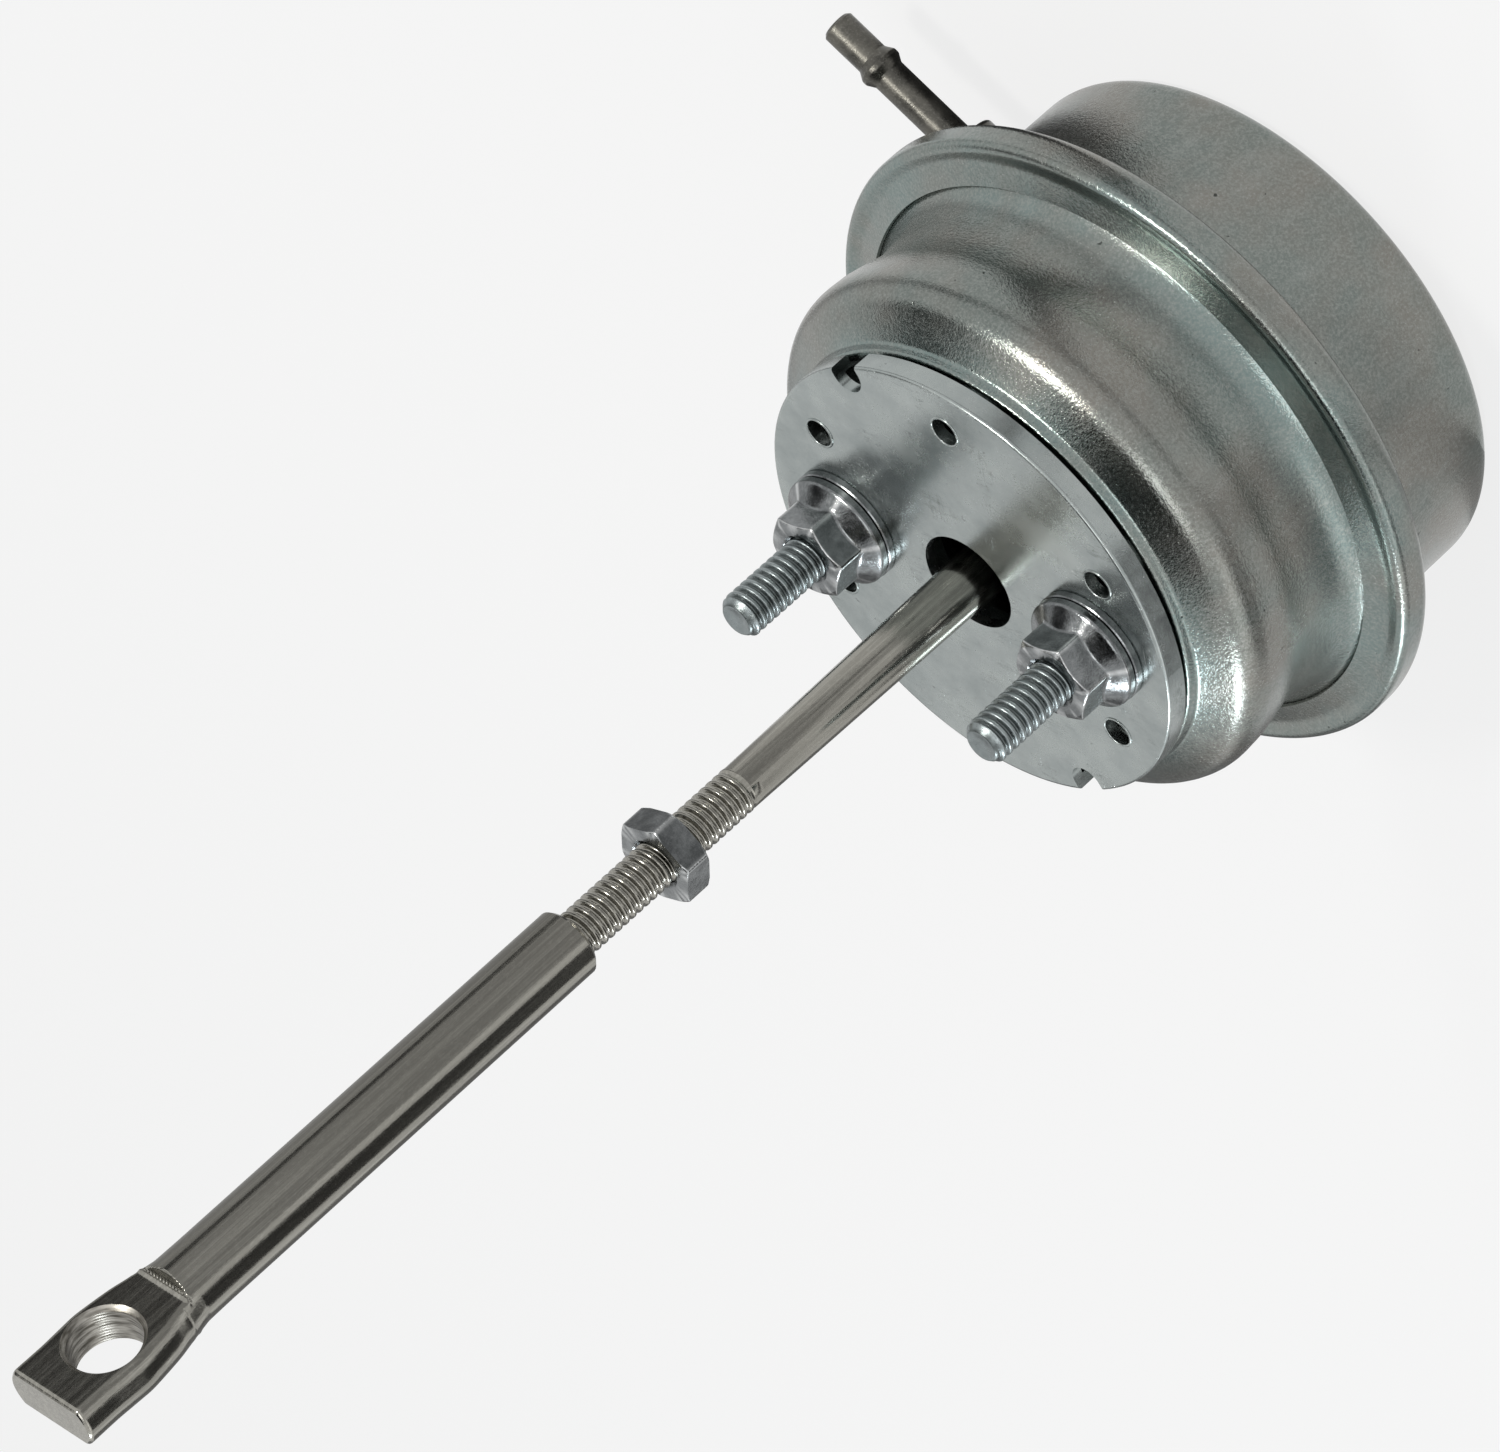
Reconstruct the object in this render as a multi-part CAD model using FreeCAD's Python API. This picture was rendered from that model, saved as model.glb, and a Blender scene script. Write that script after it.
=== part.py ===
import FreeCAD, Part
import math
import os

# Turbo wastegate actuator: a pressure can with a diaphragm, a spring and a push rod.
# Millimetres. The origin is the centre of the can's closed end and +Z runs up the rod.
# The two studs stand on the X axis and the pin hole of the rod's eye runs along Y.

# Sheet metal and clearances
shell_wall = 1.4            # sheet of the can and of the front shell
running_gap = 0.05          # radial gap of every sliding or screwed fit
rest_gap = 0.3              # gap kept where a moving piece comes to rest on a stop

# Rear can, with the flange that is rolled over the front shell
can_dia = 77.8
can_corner_radius = 3.0
can_length = 23.2           # closed end to the rear face of the flange
flange_reach = 8.6          # rolled ring beyond the can's wall
ring_corner_radius = 2.5
ring_throat_radius = 1.6
bead_width = 2.9            # ring's side to the valley between its raised bead and the lip
bead_rise = 0.8             # top of the bead above the valley
bead_radius = 1.3
valley_radius = 2.0
lip_gap = 0.2               # cut edge of the rolled lip to the flare of the front shell
lip_end_angle = 42.0        # place of that edge on the flare, from straight down

# Front shell, a stepped cup: its insets are measured inwards from its widest ring
nose_height = 53.8          # flat nose above the closed end
shell_step = 1.2            # widest ring of the shell beyond the can's wall
nose_opening_dia = 17.5
nose_inset = 7.0
nose_corner_radius = 0.8
land_foot_inset = 6.1       # foot of the raised land round the nose
land_drop = 1.8             # nose face to the foot of the land
land_foot_radius = 1.5
shoulder_drop = 2.8         # foot of the land to the corner that the shoulder rounds off
shoulder_radius = 6.0
belly_inset = 0.4
belly_drop = 11.3           # nose face to the belly of the wall
belly_radius = 12.0
waist_inset = 1.85
waist_drop = 16.5           # nose face to the waist of the wall
waist_radius = 10.0
skirt_radius = 4.5          # flare of the wall into the flange
flange_side_gap = 1.2       # between the flange's rim and the rolled ring

# Diaphragm
diaphragm_wall = 1.2
loop_side_gap = 0.2         # outer leg of the rolling loop to the shell's waist
loop_width = 5.3
loop_height = 7.3           # top of the loop above the clamped flange
loop_flare_radius = 3.9

# Mounting plate, held off the nose by spacers on the studs
spacer_length = 2.9
plate_overhang = 0.3        # plate's edge beyond the edge of the nose
plate_wall = 1.6
plate_rim_gap = 1.4         # turned rim of the plate to the nose
plate_edge_radius = 0.5
plate_bore_dia = 14.4
vent_count = 6
vent_dia = 4.0
vent_inset = 6.4            # vent's centre from the plate's edge
vent_first_angle = 26.1
notch_width = 5.0
notch_depth = 3.8
notch_angles = (117.0, 297.0)

# Studs, washers and flange nuts, quarter-inch thread with twenty turns to the inch
thread_dia = 6.35
stud_inset = 12.25          # stud's axis from the plate's edge
stud_projection = 21.4      # stud's tip above the plate
stud_chamfer = 0.8
stud_head_dia = 8.2
stud_hole_dia = 6.7
spacer_dia = 12.0
washer_dia = 16.6
washer_wall = 1.1
nut_flats = 11.11           # seven sixteenths of an inch across the flats
nut_corner_angle = 10.0
nut_thread_sink = 0.45
flange_nut_height = 7.1
flange_nut_dia = 16.4
flange_nut_rim = 1.3
flange_nut_cone_height = 3.1
nut_chamfer_angle = 30.0

# Hose nipple and its collar on the can's side
nipple_angle = 148.0
nipple_height = 12.3
nipple_dia = 4.76
nipple_bore_dia = 3.2
nipple_reach = 27.8         # tip from the can's wall
nipple_tip_chamfer = 0.4
nipple_root_depth = 0.6     # how far it stands inside the can's wall
bead_dia = 6.1
bead_from_tip = 8.2         # crest of the hose bead from the tip
bead_half_length = 1.5
bead_crest = 0.35           # half of the bead's round crest
collar_dia = 9.8
collar_reach = 4.6          # collar's face from the can's wall
collar_edge_radius = 0.7

# Return spring and its seat
spring_wire_dia = 3.8
spring_active_turns = 3.0
spring_end_turns = 0.75
spring_end_depth = 0.6      # wire's centre above the ground face of the end turns
spring_end_gap = 0.08       # between the close wound end turns
spring_arcs = 30
seat_wall = 1.2
seat_head_gap = 0.4         # between the seat's bore and the studs' heads
seat_step = 0.2             # seat's lip beyond the piston, which stops on it
seat_corner_radius = 1.8
seat_lip_depth = 3.4

# Piston group
piston_head_height = 5.5    # rear face of the cup's head above the closed end
piston_wall = 1.2
piston_corner_radius = 2.5
piston_travel = 12.0
retainer_wall = 1.2
retainer_flat_dia = 41.0
retainer_dia = 47.0
retainer_rim_drop = 1.2
retainer_bend_radius = 2.0
bump_stop_inner_dia = 22.0
bump_stop_outer_dia = 32.0
socket_flange_dia = 20.0
socket_flange_wall = 1.5
socket_wall = 2.4           # socket's wall round the ball
socket_shank_dia = 9.2
socket_rivet_dia = 13.0
socket_rivet_height = 1.2
ball_dia = 10.0
ball_gap = 0.1
ball_floor = 0.4            # metal between the ball's seat and the cup's head
ring_wall = 1.0             # snap ring that keeps the ball in its socket
ring_lip = 1.0              # how far the groove runs into the socket's wall
ring_inner_dia = 8.2
ring_above_ball = 3.0
ring_side_gap = 0.1
ring_split_angle = 24.0
socket_rim = 1.0            # metal above the snap ring's groove

# Actuator rod: heights along it are measured from the plate's face
rod_neck_dia = 6.0
rod_neck_length = 3.0
rod_base_dia = 7.3
rod_tip_dia = 6.2           # plain end of the taper, just under the thread
thread_start = 43.6
rod_reach = 99.9
rod_chamfer = 0.9

# Jam nut
jam_nut_height = 3.97
jam_nut_start = 55.2
jam_nut_angle = 17.0

# Rod end: a bar, tapped at one end and forged flat to an eye at the other
bar_dia = 9.525
bar_start = 74.5
bar_length = 68.8           # to the shoulder where the flat starts
bar_edge_chamfer = 0.5
shoulder_chamfer = 0.7
tap_depth = 44.0
tap_cone_angle = 59.0
eye_from_shoulder = 11.0    # pin hole's axis beyond the shoulder
eye_hole_dia = 9.525
eye_hole_chamfer = 0.6
eye_wall = 6.1
eye_width = 14.2            # widest a little below the hole's axis
eye_crest_below_hole = 0.5
eye_hip_inset = 0.75        # outline at the hip between the bar and the hole
eye_hip_below_hole = 6.0
eye_cheek_inset = 0.3       # outline between the hole and the tip
eye_cheek_above_hole = 4.9
eye_neck_flare = 0.35       # flat's side beyond the bar's side at the shoulder
eye_tip_above_hole = 9.8
eye_tip_width = 13.7
eye_tip_bulge = 0.5
eye_root_width = 9.0
eye_root_depth = 5.0        # how far the flat's root runs into the bar
eye_edge_radius = 2.0

# Diameters of the shells, from the can's wall outwards and inwards
ring_dia = can_dia + 2 * flange_reach
shell_dia = can_dia + 2 * shell_step
nose_dia = shell_dia - 2 * nose_inset
land_foot_dia = shell_dia - 2 * land_foot_inset
belly_dia = shell_dia - 2 * belly_inset
waist_dia = shell_dia - 2 * waist_inset
plate_dia = nose_dia + 2 * plate_overhang
stud_spacing = plate_dia - 2 * stud_inset
rolled_dia = ring_dia - 2 * shell_wall - 2 * flange_side_gap

# Diameters inside them: the loop fits the waist, the piston the loop, the spring the piston
loop_outer_dia = waist_dia - 2 * shell_wall - 2 * loop_side_gap
piston_dia = loop_outer_dia - 2 * loop_width - 2 * running_gap
spring_mean_dia = piston_dia - 2 * piston_corner_radius - spring_wire_dia
seat_outer_dia = piston_dia + 2 * seat_step
seat_inner_dia = stud_spacing + stud_head_dia + 2 * seat_head_gap
socket_dia = ball_dia + 2 * ball_gap + 2 * socket_wall
ring_groove_dia = ball_dia + 2 * ring_lip

# Heights of the clamped stack in the rolled ring
clamp_rear = can_length + shell_wall
clamp_front = clamp_rear + diaphragm_wall
flange_front = clamp_front + shell_wall
ring_front = flange_front + shell_wall

# Centre of the round flare where the front shell's leaning wall turns into its flange
skirt_lean = math.atan2((shell_dia - waist_dia) / 2, nose_height - waist_drop - flange_front)
flare_centre_r = shell_dia / 2 + skirt_radius * math.tan((math.pi / 2 - skirt_lean) / 2)
flare_centre_height = flange_front + skirt_radius

# Heights at the nose, the plate and along the rod
under_nose = nose_height - shell_wall
seat_bottom = under_nose - seat_lip_depth
plate_height = nose_height + spacer_length + plate_wall
plate_rim_height = nose_height + plate_rim_gap
nut_seat_height = plate_height + washer_wall
stud_top_height = plate_height + stud_projection
thread_start_height = plate_height + thread_start
rod_top_height = plate_height + rod_reach
jam_nut_bottom = plate_height + jam_nut_start
bar_bottom = plate_height + bar_start
bar_top = bar_bottom + bar_length
eye_height = bar_top + eye_from_shoulder

# Heights in the piston group
retainer_front = piston_head_height - diaphragm_wall
retainer_rear = retainer_front - retainer_wall
head_front = piston_head_height + piston_wall
ball_height = head_front + ball_floor + ball_dia / 2 + ball_gap
snap_ring_bottom = ball_height + ring_above_ball
socket_top = snap_ring_bottom + ring_wall + ring_side_gap + socket_rim

origin = FreeCAD.Vector(0, 0, 0)
up = FreeCAD.Vector(0, 0, 1)


def point(radius, height):
    return FreeCAD.Vector(radius, 0, height)


def turn_between(before, corner, after):
    """Signed turn at a corner of an outline, in radians, positive to the left."""
    first = math.atan2(corner[1] - before[1], corner[0] - before[0])
    second = math.atan2(after[1] - corner[1], after[0] - corner[0])
    turn = second - first
    return math.atan2(math.sin(turn), math.cos(turn))


def corner_arc(before, corner, after):
    """The arc that rounds one corner, as its start, middle and end points."""
    radius = corner[2]
    turn = turn_between(before, corner, after)
    reach = radius * math.tan(abs(turn) / 2)
    back = FreeCAD.Vector(before[0] - corner[0], 0, before[1] - corner[1]).normalize()
    ahead = FreeCAD.Vector(after[0] - corner[0], 0, after[1] - corner[1]).normalize()
    tip = point(corner[0], corner[1])
    inward = (back + ahead).normalize()
    to_centre = math.hypot(radius, reach)
    return tip + back * reach, tip + inward * (to_centre - radius), tip + ahead * reach


def outline_edges(corners):
    """Edges through a list of (radius, height, corner radius), rounded at each inner corner."""
    edges = []
    here = point(corners[0][0], corners[0][1])
    for index in range(1, len(corners) - 1):
        before, corner, after = corners[index - 1:index + 2]
        if corner[2] <= 0:
            start = middle = end = point(corner[0], corner[1])
        else:
            start, middle, end = corner_arc(before, corner, after)
        if here.distanceToPoint(start) > 1e-6:
            edges.append(Part.makeLine(here, start))
        if corner[2] > 0:
            edges.append(Part.Arc(start, middle, end).toShape())
        here = end
    edges.append(Part.makeLine(here, point(corners[-1][0], corners[-1][1])))
    return edges


def offset_outline(corners, wall):
    """The outline moved to its left by a wall, with its corner radii grown or shrunk to match."""
    moved = []
    last = len(corners) - 1
    for index, corner in enumerate(corners):
        before = corners[max(index - 1, 0)]
        after = corners[min(index + 1, last)]
        if index in (0, last):
            heading = math.atan2(after[1] - before[1], after[0] - before[0])
            turn = 0.0
        else:
            turn = turn_between(before, corner, after)
            heading = math.atan2(corner[1] - before[1], corner[0] - before[0]) + turn / 2
        reach = wall / math.cos(turn / 2)
        radius = 0.0
        if corner[2] > 0:
            radius = max(corner[2] - math.copysign(1, turn) * wall, 0.0)
        moved.append((corner[0] - reach * math.sin(heading), corner[1] + reach * math.cos(heading), radius))
    return moved


def turned(profile_edges):
    """A solid of revolution from the edges of a closed outline."""
    face = Part.Face(Part.Wire(Part.__sortEdges__(profile_edges)))
    return face.revolve(origin, up, 360)


def pressed_sheet(corners, wall):
    """A drawn sheet of even wall, on the left of its outline where the wall is positive."""
    other = offset_outline(corners, wall)
    near = outline_edges(corners)
    far = outline_edges(other)
    ends = [
        Part.makeLine(point(corners[0][0], corners[0][1]), point(other[0][0], other[0][1])),
        Part.makeLine(point(corners[-1][0], corners[-1][1]), point(other[-1][0], other[-1][1])),
    ]
    return turned(near + far + ends)


def turned_outline(corners):
    """A turned solid from a closed list of (radius, height, corner radius)."""
    return turned(outline_edges(corners + corners[:1]))


def tube(inner_dia, outer_dia, bottom, top, bevel=0.0):
    """A ring or washer, with its outer edges bevelled."""
    outer = outer_dia / 2
    corners = [(inner_dia / 2, bottom, 0), (outer - bevel, bottom, 0)]
    if bevel > 0:
        corners += [(outer, bottom + bevel, 0), (outer, top - bevel, 0)]
    else:
        corners += [(outer, bottom, 0)]
    corners += [(outer - bevel, top, 0), (inner_dia / 2, top, 0)]
    return turned_outline(corners)


def at_studs(shape):
    """The same piece at both studs, as a group of separate solids."""
    half = stud_spacing / 2
    return Part.Compound([shape.translated(FreeCAD.Vector(side * half, 0, 0)) for side in (-1, 1)])


def stud_drill(dia):
    """Two long drills at the stud places."""
    return at_studs(Part.makeCylinder(dia / 2, plate_height * 2))


def hexagon(flats, bottom, height, corner_angle):
    """A hexagonal prism, with one corner at the given angle."""
    corner_radius = flats / 2 / math.cos(math.pi / 6)
    corners = []
    for index in range(7):
        angle = math.radians(corner_angle + 60 * index)
        across = corner_radius * math.cos(angle)
        along = corner_radius * math.sin(angle)
        corners.append(FreeCAD.Vector(across, along, bottom))
    face = Part.Face(Part.makePolygon(corners))
    return face.extrude(FreeCAD.Vector(0, 0, height))


def chamfer_cone(flats, bottom, top, both_ends):
    """The turned blank that rounds off a hexagon's corners at one end or at both."""
    inner = flats / 2 * 0.98
    outer = flats / 2 / math.cos(math.pi / 6) * 1.02
    drop = (outer - inner) * math.tan(math.radians(nut_chamfer_angle))
    corners = [(0, bottom, 0)]
    if both_ends:
        corners += [(inner, bottom, 0), (outer, bottom + drop, 0)]
    else:
        corners += [(outer, bottom, 0)]
    corners += [(outer, top - drop, 0), (inner, top, 0), (0, top, 0)]
    return turned_outline(corners)


def thread_bore(bottom, top):
    """The tapped bore of a nut, countersunk at both ends."""
    radius = thread_dia / 2 + running_gap
    mouth = radius + nut_thread_sink + 1
    corners = [
        (0, bottom - 1, 0), (mouth, bottom - 1, 0), (radius, bottom + nut_thread_sink, 0),
        (radius, top - nut_thread_sink, 0), (mouth, top + 1, 0), (0, top + 1, 0),
    ]
    return turned_outline(corners)


def radial(shape):
    """A piece modelled along +Z, laid out from the can's axis at the nipple's place."""
    laid = shape.copy()
    laid.rotate(origin, FreeCAD.Vector(0, 1, 0), 90)
    laid.rotate(origin, up, nipple_angle)
    laid.translate(FreeCAD.Vector(0, 0, nipple_height))
    return laid


def lip_edge(valley):
    """The lip's outer edge: its sheet runs straight from the valley to the shell's flare."""
    end_angle = math.radians(lip_end_angle)
    reach_r = skirt_radius - lip_gap
    inner_r = flare_centre_r - reach_r * math.sin(end_angle)
    inner_height = flare_centre_height - reach_r * math.cos(end_angle)
    run = math.dist(valley, (inner_r, inner_height))
    turn = math.asin(shell_wall / run)
    heading = math.atan2(inner_height - valley[1], inner_r - valley[0]) - turn
    length = run * math.cos(turn)
    return valley[0] + length * math.cos(heading), valley[1] + length * math.sin(heading)


def rear_can():
    can_r = can_dia / 2
    ring_r = ring_dia / 2
    valley = (ring_r - bead_width, ring_front)
    edge = lip_edge(valley)
    outline = [
        (0, 0, 0),
        (can_r, 0, can_corner_radius),
        (can_r, can_length, ring_throat_radius),
        (ring_r, can_length, ring_corner_radius),
        (ring_r, ring_front + bead_rise, bead_radius),
        (valley[0], valley[1], valley_radius),
        (edge[0], edge[1], 0),
    ]
    can = pressed_sheet(outline, shell_wall)
    port = radial(Part.makeCylinder(nipple_dia / 2 + running_gap, ring_r))
    return can.cut(port)


def front_shell():
    outline = [
        (nose_opening_dia / 2, nose_height, 0),
        (nose_dia / 2, nose_height, nose_corner_radius),
        (land_foot_dia / 2, nose_height - land_drop, land_foot_radius),
        (shell_dia / 2, nose_height - land_drop - shoulder_drop, shoulder_radius),
        (belly_dia / 2, nose_height - belly_drop, belly_radius),
        (waist_dia / 2, nose_height - waist_drop, waist_radius),
        (shell_dia / 2, flange_front, skirt_radius),
        (rolled_dia / 2, flange_front, 0),
    ]
    return pressed_sheet(outline, -shell_wall).cut(stud_drill(stud_hole_dia))


def diaphragm():
    leg_r = piston_dia / 2 + running_gap
    loop_radius = loop_width / 2
    outline = [
        (rolled_dia / 2, clamp_front, 0),
        (loop_outer_dia / 2, clamp_front, loop_flare_radius),
        (loop_outer_dia / 2, clamp_front + loop_height, loop_radius),
        (leg_r, clamp_front + loop_height, loop_radius),
        (leg_r, piston_head_height, piston_corner_radius + running_gap),
        (socket_shank_dia / 2 + running_gap, piston_head_height, 0),
    ]
    return pressed_sheet(outline, diaphragm_wall)


def mounting_plate():
    outline = [
        (plate_bore_dia / 2, plate_height, 0),
        (plate_dia / 2, plate_height, plate_edge_radius),
        (plate_dia / 2, plate_rim_height, 0),
    ]
    plate = pressed_sheet(outline, -plate_wall)
    cuts = [stud_drill(stud_hole_dia)]
    for index in range(vent_count):
        angle = vent_first_angle + index * 360 / vent_count
        drill = Part.makeCylinder(vent_dia / 2, plate_height * 2)
        drill.translate(FreeCAD.Vector(plate_dia / 2 - vent_inset, 0, 0))
        drill.rotate(origin, up, angle)
        cuts.append(drill)
    for angle in notch_angles:
        centre = plate_dia / 2 - notch_depth + notch_width / 2
        punch = Part.makeCylinder(notch_width / 2, plate_height * 2, FreeCAD.Vector(centre, 0, 0))
        mouth_corner = FreeCAD.Vector(centre, -notch_width / 2, 0)
        mouth = Part.makeBox(plate_dia, notch_width, plate_height * 2, mouth_corner)
        notch = punch.fuse(mouth)
        notch.rotate(origin, up, angle)
        cuts.append(notch)
    return plate.cut(cuts)


def mounting_studs():
    shank = thread_dia / 2
    outline = [
        (0, under_nose - seat_wall, 0),
        (stud_head_dia / 2, under_nose - seat_wall, 0.4),
        (stud_head_dia / 2, under_nose, 0),
        (shank, under_nose, 0),
        (shank, stud_top_height - stud_chamfer, 0),
        (shank - stud_chamfer, stud_top_height, 0),
        (0, stud_top_height, 0),
    ]
    return at_studs(turned_outline(outline))


def stud_spacers():
    return at_studs(tube(stud_hole_dia, spacer_dia, nose_height, plate_height - plate_wall, 0.3))


def nut_washers():
    return at_studs(tube(stud_hole_dia, washer_dia, plate_height, nut_seat_height, 0.15))


def flange_nuts():
    bottom = nut_seat_height
    top = bottom + flange_nut_height
    body = hexagon(nut_flats, bottom, flange_nut_height, nut_corner_angle)
    body = body.common(chamfer_cone(nut_flats, bottom, top, False))
    rim_r = flange_nut_dia / 2
    skirt = turned_outline([
        (0, bottom, 0),
        (rim_r, bottom, 0.3),
        (rim_r, bottom + flange_nut_rim, 0.5),
        (nut_flats / 2, bottom + flange_nut_cone_height, 0),
        (0, bottom + flange_nut_cone_height, 0),
    ])
    nut = body.fuse(skirt).cut(thread_bore(bottom, top)).removeSplitter()
    return at_studs(nut)


def hose_nipple():
    outer = nipple_dia / 2
    bore = nipple_bore_dia / 2
    root = can_dia / 2 - shell_wall - nipple_root_depth
    tip = can_dia / 2 + nipple_reach
    bead = tip - bead_from_tip
    outline = [
        (bore, root, 0),
        (outer, root, 0),
        (outer, bead - bead_half_length, 0.6),
        (bead_dia / 2, bead - bead_crest, 0.5),
        (bead_dia / 2, bead + bead_crest, 0.5),
        (outer, bead + bead_half_length, 0.6),
        (outer, tip - nipple_tip_chamfer, 0),
        (outer - nipple_tip_chamfer, tip, 0),
        (bore, tip, 0),
    ]
    return radial(turned_outline(outline))


def nipple_collar():
    base = can_dia / 2 - collar_reach
    face = can_dia / 2 + collar_reach
    outline = [
        (nipple_dia / 2 + running_gap, base, 0),
        (collar_dia / 2, base, 0),
        (collar_dia / 2, face, collar_edge_radius),
        (nipple_dia / 2 + running_gap, face, 0),
    ]
    wall = Part.makeCylinder(can_dia / 2 + running_gap, can_length)
    return radial(turned_outline(outline)).cut(wall)


def spring_seat():
    outline = [
        (seat_inner_dia / 2, under_nose, 0),
        (seat_outer_dia / 2, under_nose, seat_corner_radius),
        (seat_outer_dia / 2, seat_bottom, 0),
    ]
    return pressed_sheet(outline, -seat_wall)


def return_spring():
    """A round wire coil as a chain of arcs, close wound and ground flat at its ends."""
    top = under_nose - seat_wall
    start = head_front + spring_end_depth
    end_pitch = spring_wire_dia + spring_end_gap
    end_rise = end_pitch * spring_end_turns
    active_rise = top + head_front - 2 * start - 2 * end_rise
    turns = spring_active_turns + 2 * spring_end_turns

    def on_coil(share):
        turn = turns * share
        active = min(max(turn - spring_end_turns, 0), spring_active_turns)
        rise = end_pitch * (turn - active) + active_rise * active / spring_active_turns
        angle = 2 * math.pi * turn
        mean_r = spring_mean_dia / 2
        return FreeCAD.Vector(mean_r * math.cos(angle), mean_r * math.sin(angle), start + rise)

    arcs = []
    for index in range(spring_arcs):
        places = [on_coil((index + part) / spring_arcs) for part in (0, 0.5, 1)]
        arcs.append(Part.Arc(*places).toShape())
    heading = arcs[0].tangentAt(arcs[0].FirstParameter)
    section = Part.Wire(Part.makeCircle(spring_wire_dia / 2, on_coil(0), heading))
    coil = Part.Wire(arcs).makePipeShell([section], True, False)
    return coil.common(Part.makeCylinder(piston_dia, top - head_front, point(0, head_front)))


def piston_cup():
    rim = seat_bottom - piston_travel - rest_gap
    outline = [
        (socket_shank_dia / 2 + running_gap, piston_head_height, 0),
        (piston_dia / 2, piston_head_height, piston_corner_radius),
        (piston_dia / 2, rim, 0),
    ]
    return pressed_sheet(outline, piston_wall)


def diaphragm_retainer():
    outline = [
        (socket_shank_dia / 2 + running_gap, retainer_front, 0),
        (retainer_flat_dia / 2, retainer_front, retainer_bend_radius),
        (retainer_dia / 2, retainer_front - retainer_rim_drop, 0),
    ]
    return pressed_sheet(outline, -retainer_wall)


def bump_stop():
    stop_height = retainer_rear - rest_gap
    return tube(bump_stop_inner_dia, bump_stop_outer_dia, shell_wall, stop_height, 0.3)


def rod_socket():
    """A turned socket, riveted through cup, diaphragm and retainer, that holds the rod's ball."""
    outline = [
        (0, retainer_rear - socket_rivet_height, 0),
        (socket_rivet_dia / 2, retainer_rear - socket_rivet_height, 0.9),
        (socket_rivet_dia / 2, retainer_rear, 0),
        (socket_shank_dia / 2, retainer_rear, 0),
        (socket_shank_dia / 2, head_front, 0),
        (socket_flange_dia / 2, head_front, 0),
        (socket_flange_dia / 2, head_front + socket_flange_wall, 0.4),
        (socket_dia / 2, head_front + socket_flange_wall, 0.6),
        (socket_dia / 2, socket_top, 0.4),
        (0, socket_top, 0),
    ]
    seat_r = ball_dia / 2 + ball_gap
    cup = Part.makeSphere(seat_r, FreeCAD.Vector(0, 0, ball_height))
    mouth = Part.makeCylinder(seat_r, socket_top, FreeCAD.Vector(0, 0, ball_height))
    groove = Part.makeCylinder(
        ring_groove_dia / 2, ring_wall + 2 * ring_side_gap,
        FreeCAD.Vector(0, 0, snap_ring_bottom - ring_side_gap),
    )
    return turned_outline(outline).cut([cup, mouth, groove])


def snap_ring():
    outer_dia = ring_groove_dia - 2 * ring_side_gap
    ring = tube(ring_inner_dia, outer_dia, snap_ring_bottom, snap_ring_bottom + ring_wall)
    below = FreeCAD.Vector(0, 0, snap_ring_bottom - ring_wall)
    split = Part.makeCylinder(ring_groove_dia, 3 * ring_wall, below, up, ring_split_angle)
    return ring.cut(split)


def actuator_rod():
    ball_r = ball_dia / 2
    neck_r = rod_neck_dia / 2
    neck_start = ball_height + math.sqrt(ball_r ** 2 - neck_r ** 2)
    neck_end = neck_start + rod_neck_length
    thread_r = thread_dia / 2
    ball_bottom = point(0, ball_height - ball_r)
    ball_side = point(ball_r, ball_height)
    edges = [Part.Arc(ball_bottom, ball_side, point(neck_r, neck_start)).toShape()]
    edges += outline_edges([
        (neck_r, neck_start, 0),
        (neck_r, neck_end, 0),
        (rod_base_dia / 2, neck_end + 1.0, 0),
        (rod_base_dia / 2, plate_height, 0),
        (rod_tip_dia / 2, thread_start_height, 0),
        (thread_r, thread_start_height + 0.3, 0),
        (thread_r, rod_top_height - rod_chamfer, 0),
        (thread_r - rod_chamfer, rod_top_height, 0),
        (0, rod_top_height, 0),
    ])
    edges.append(Part.makeLine(point(0, rod_top_height), ball_bottom))
    return turned(edges)


def jam_nut():
    top = jam_nut_bottom + jam_nut_height
    body = hexagon(nut_flats, jam_nut_bottom, jam_nut_height, jam_nut_angle)
    body = body.common(chamfer_cone(nut_flats, jam_nut_bottom, top, True))
    return body.cut(thread_bore(jam_nut_bottom, top))


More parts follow.
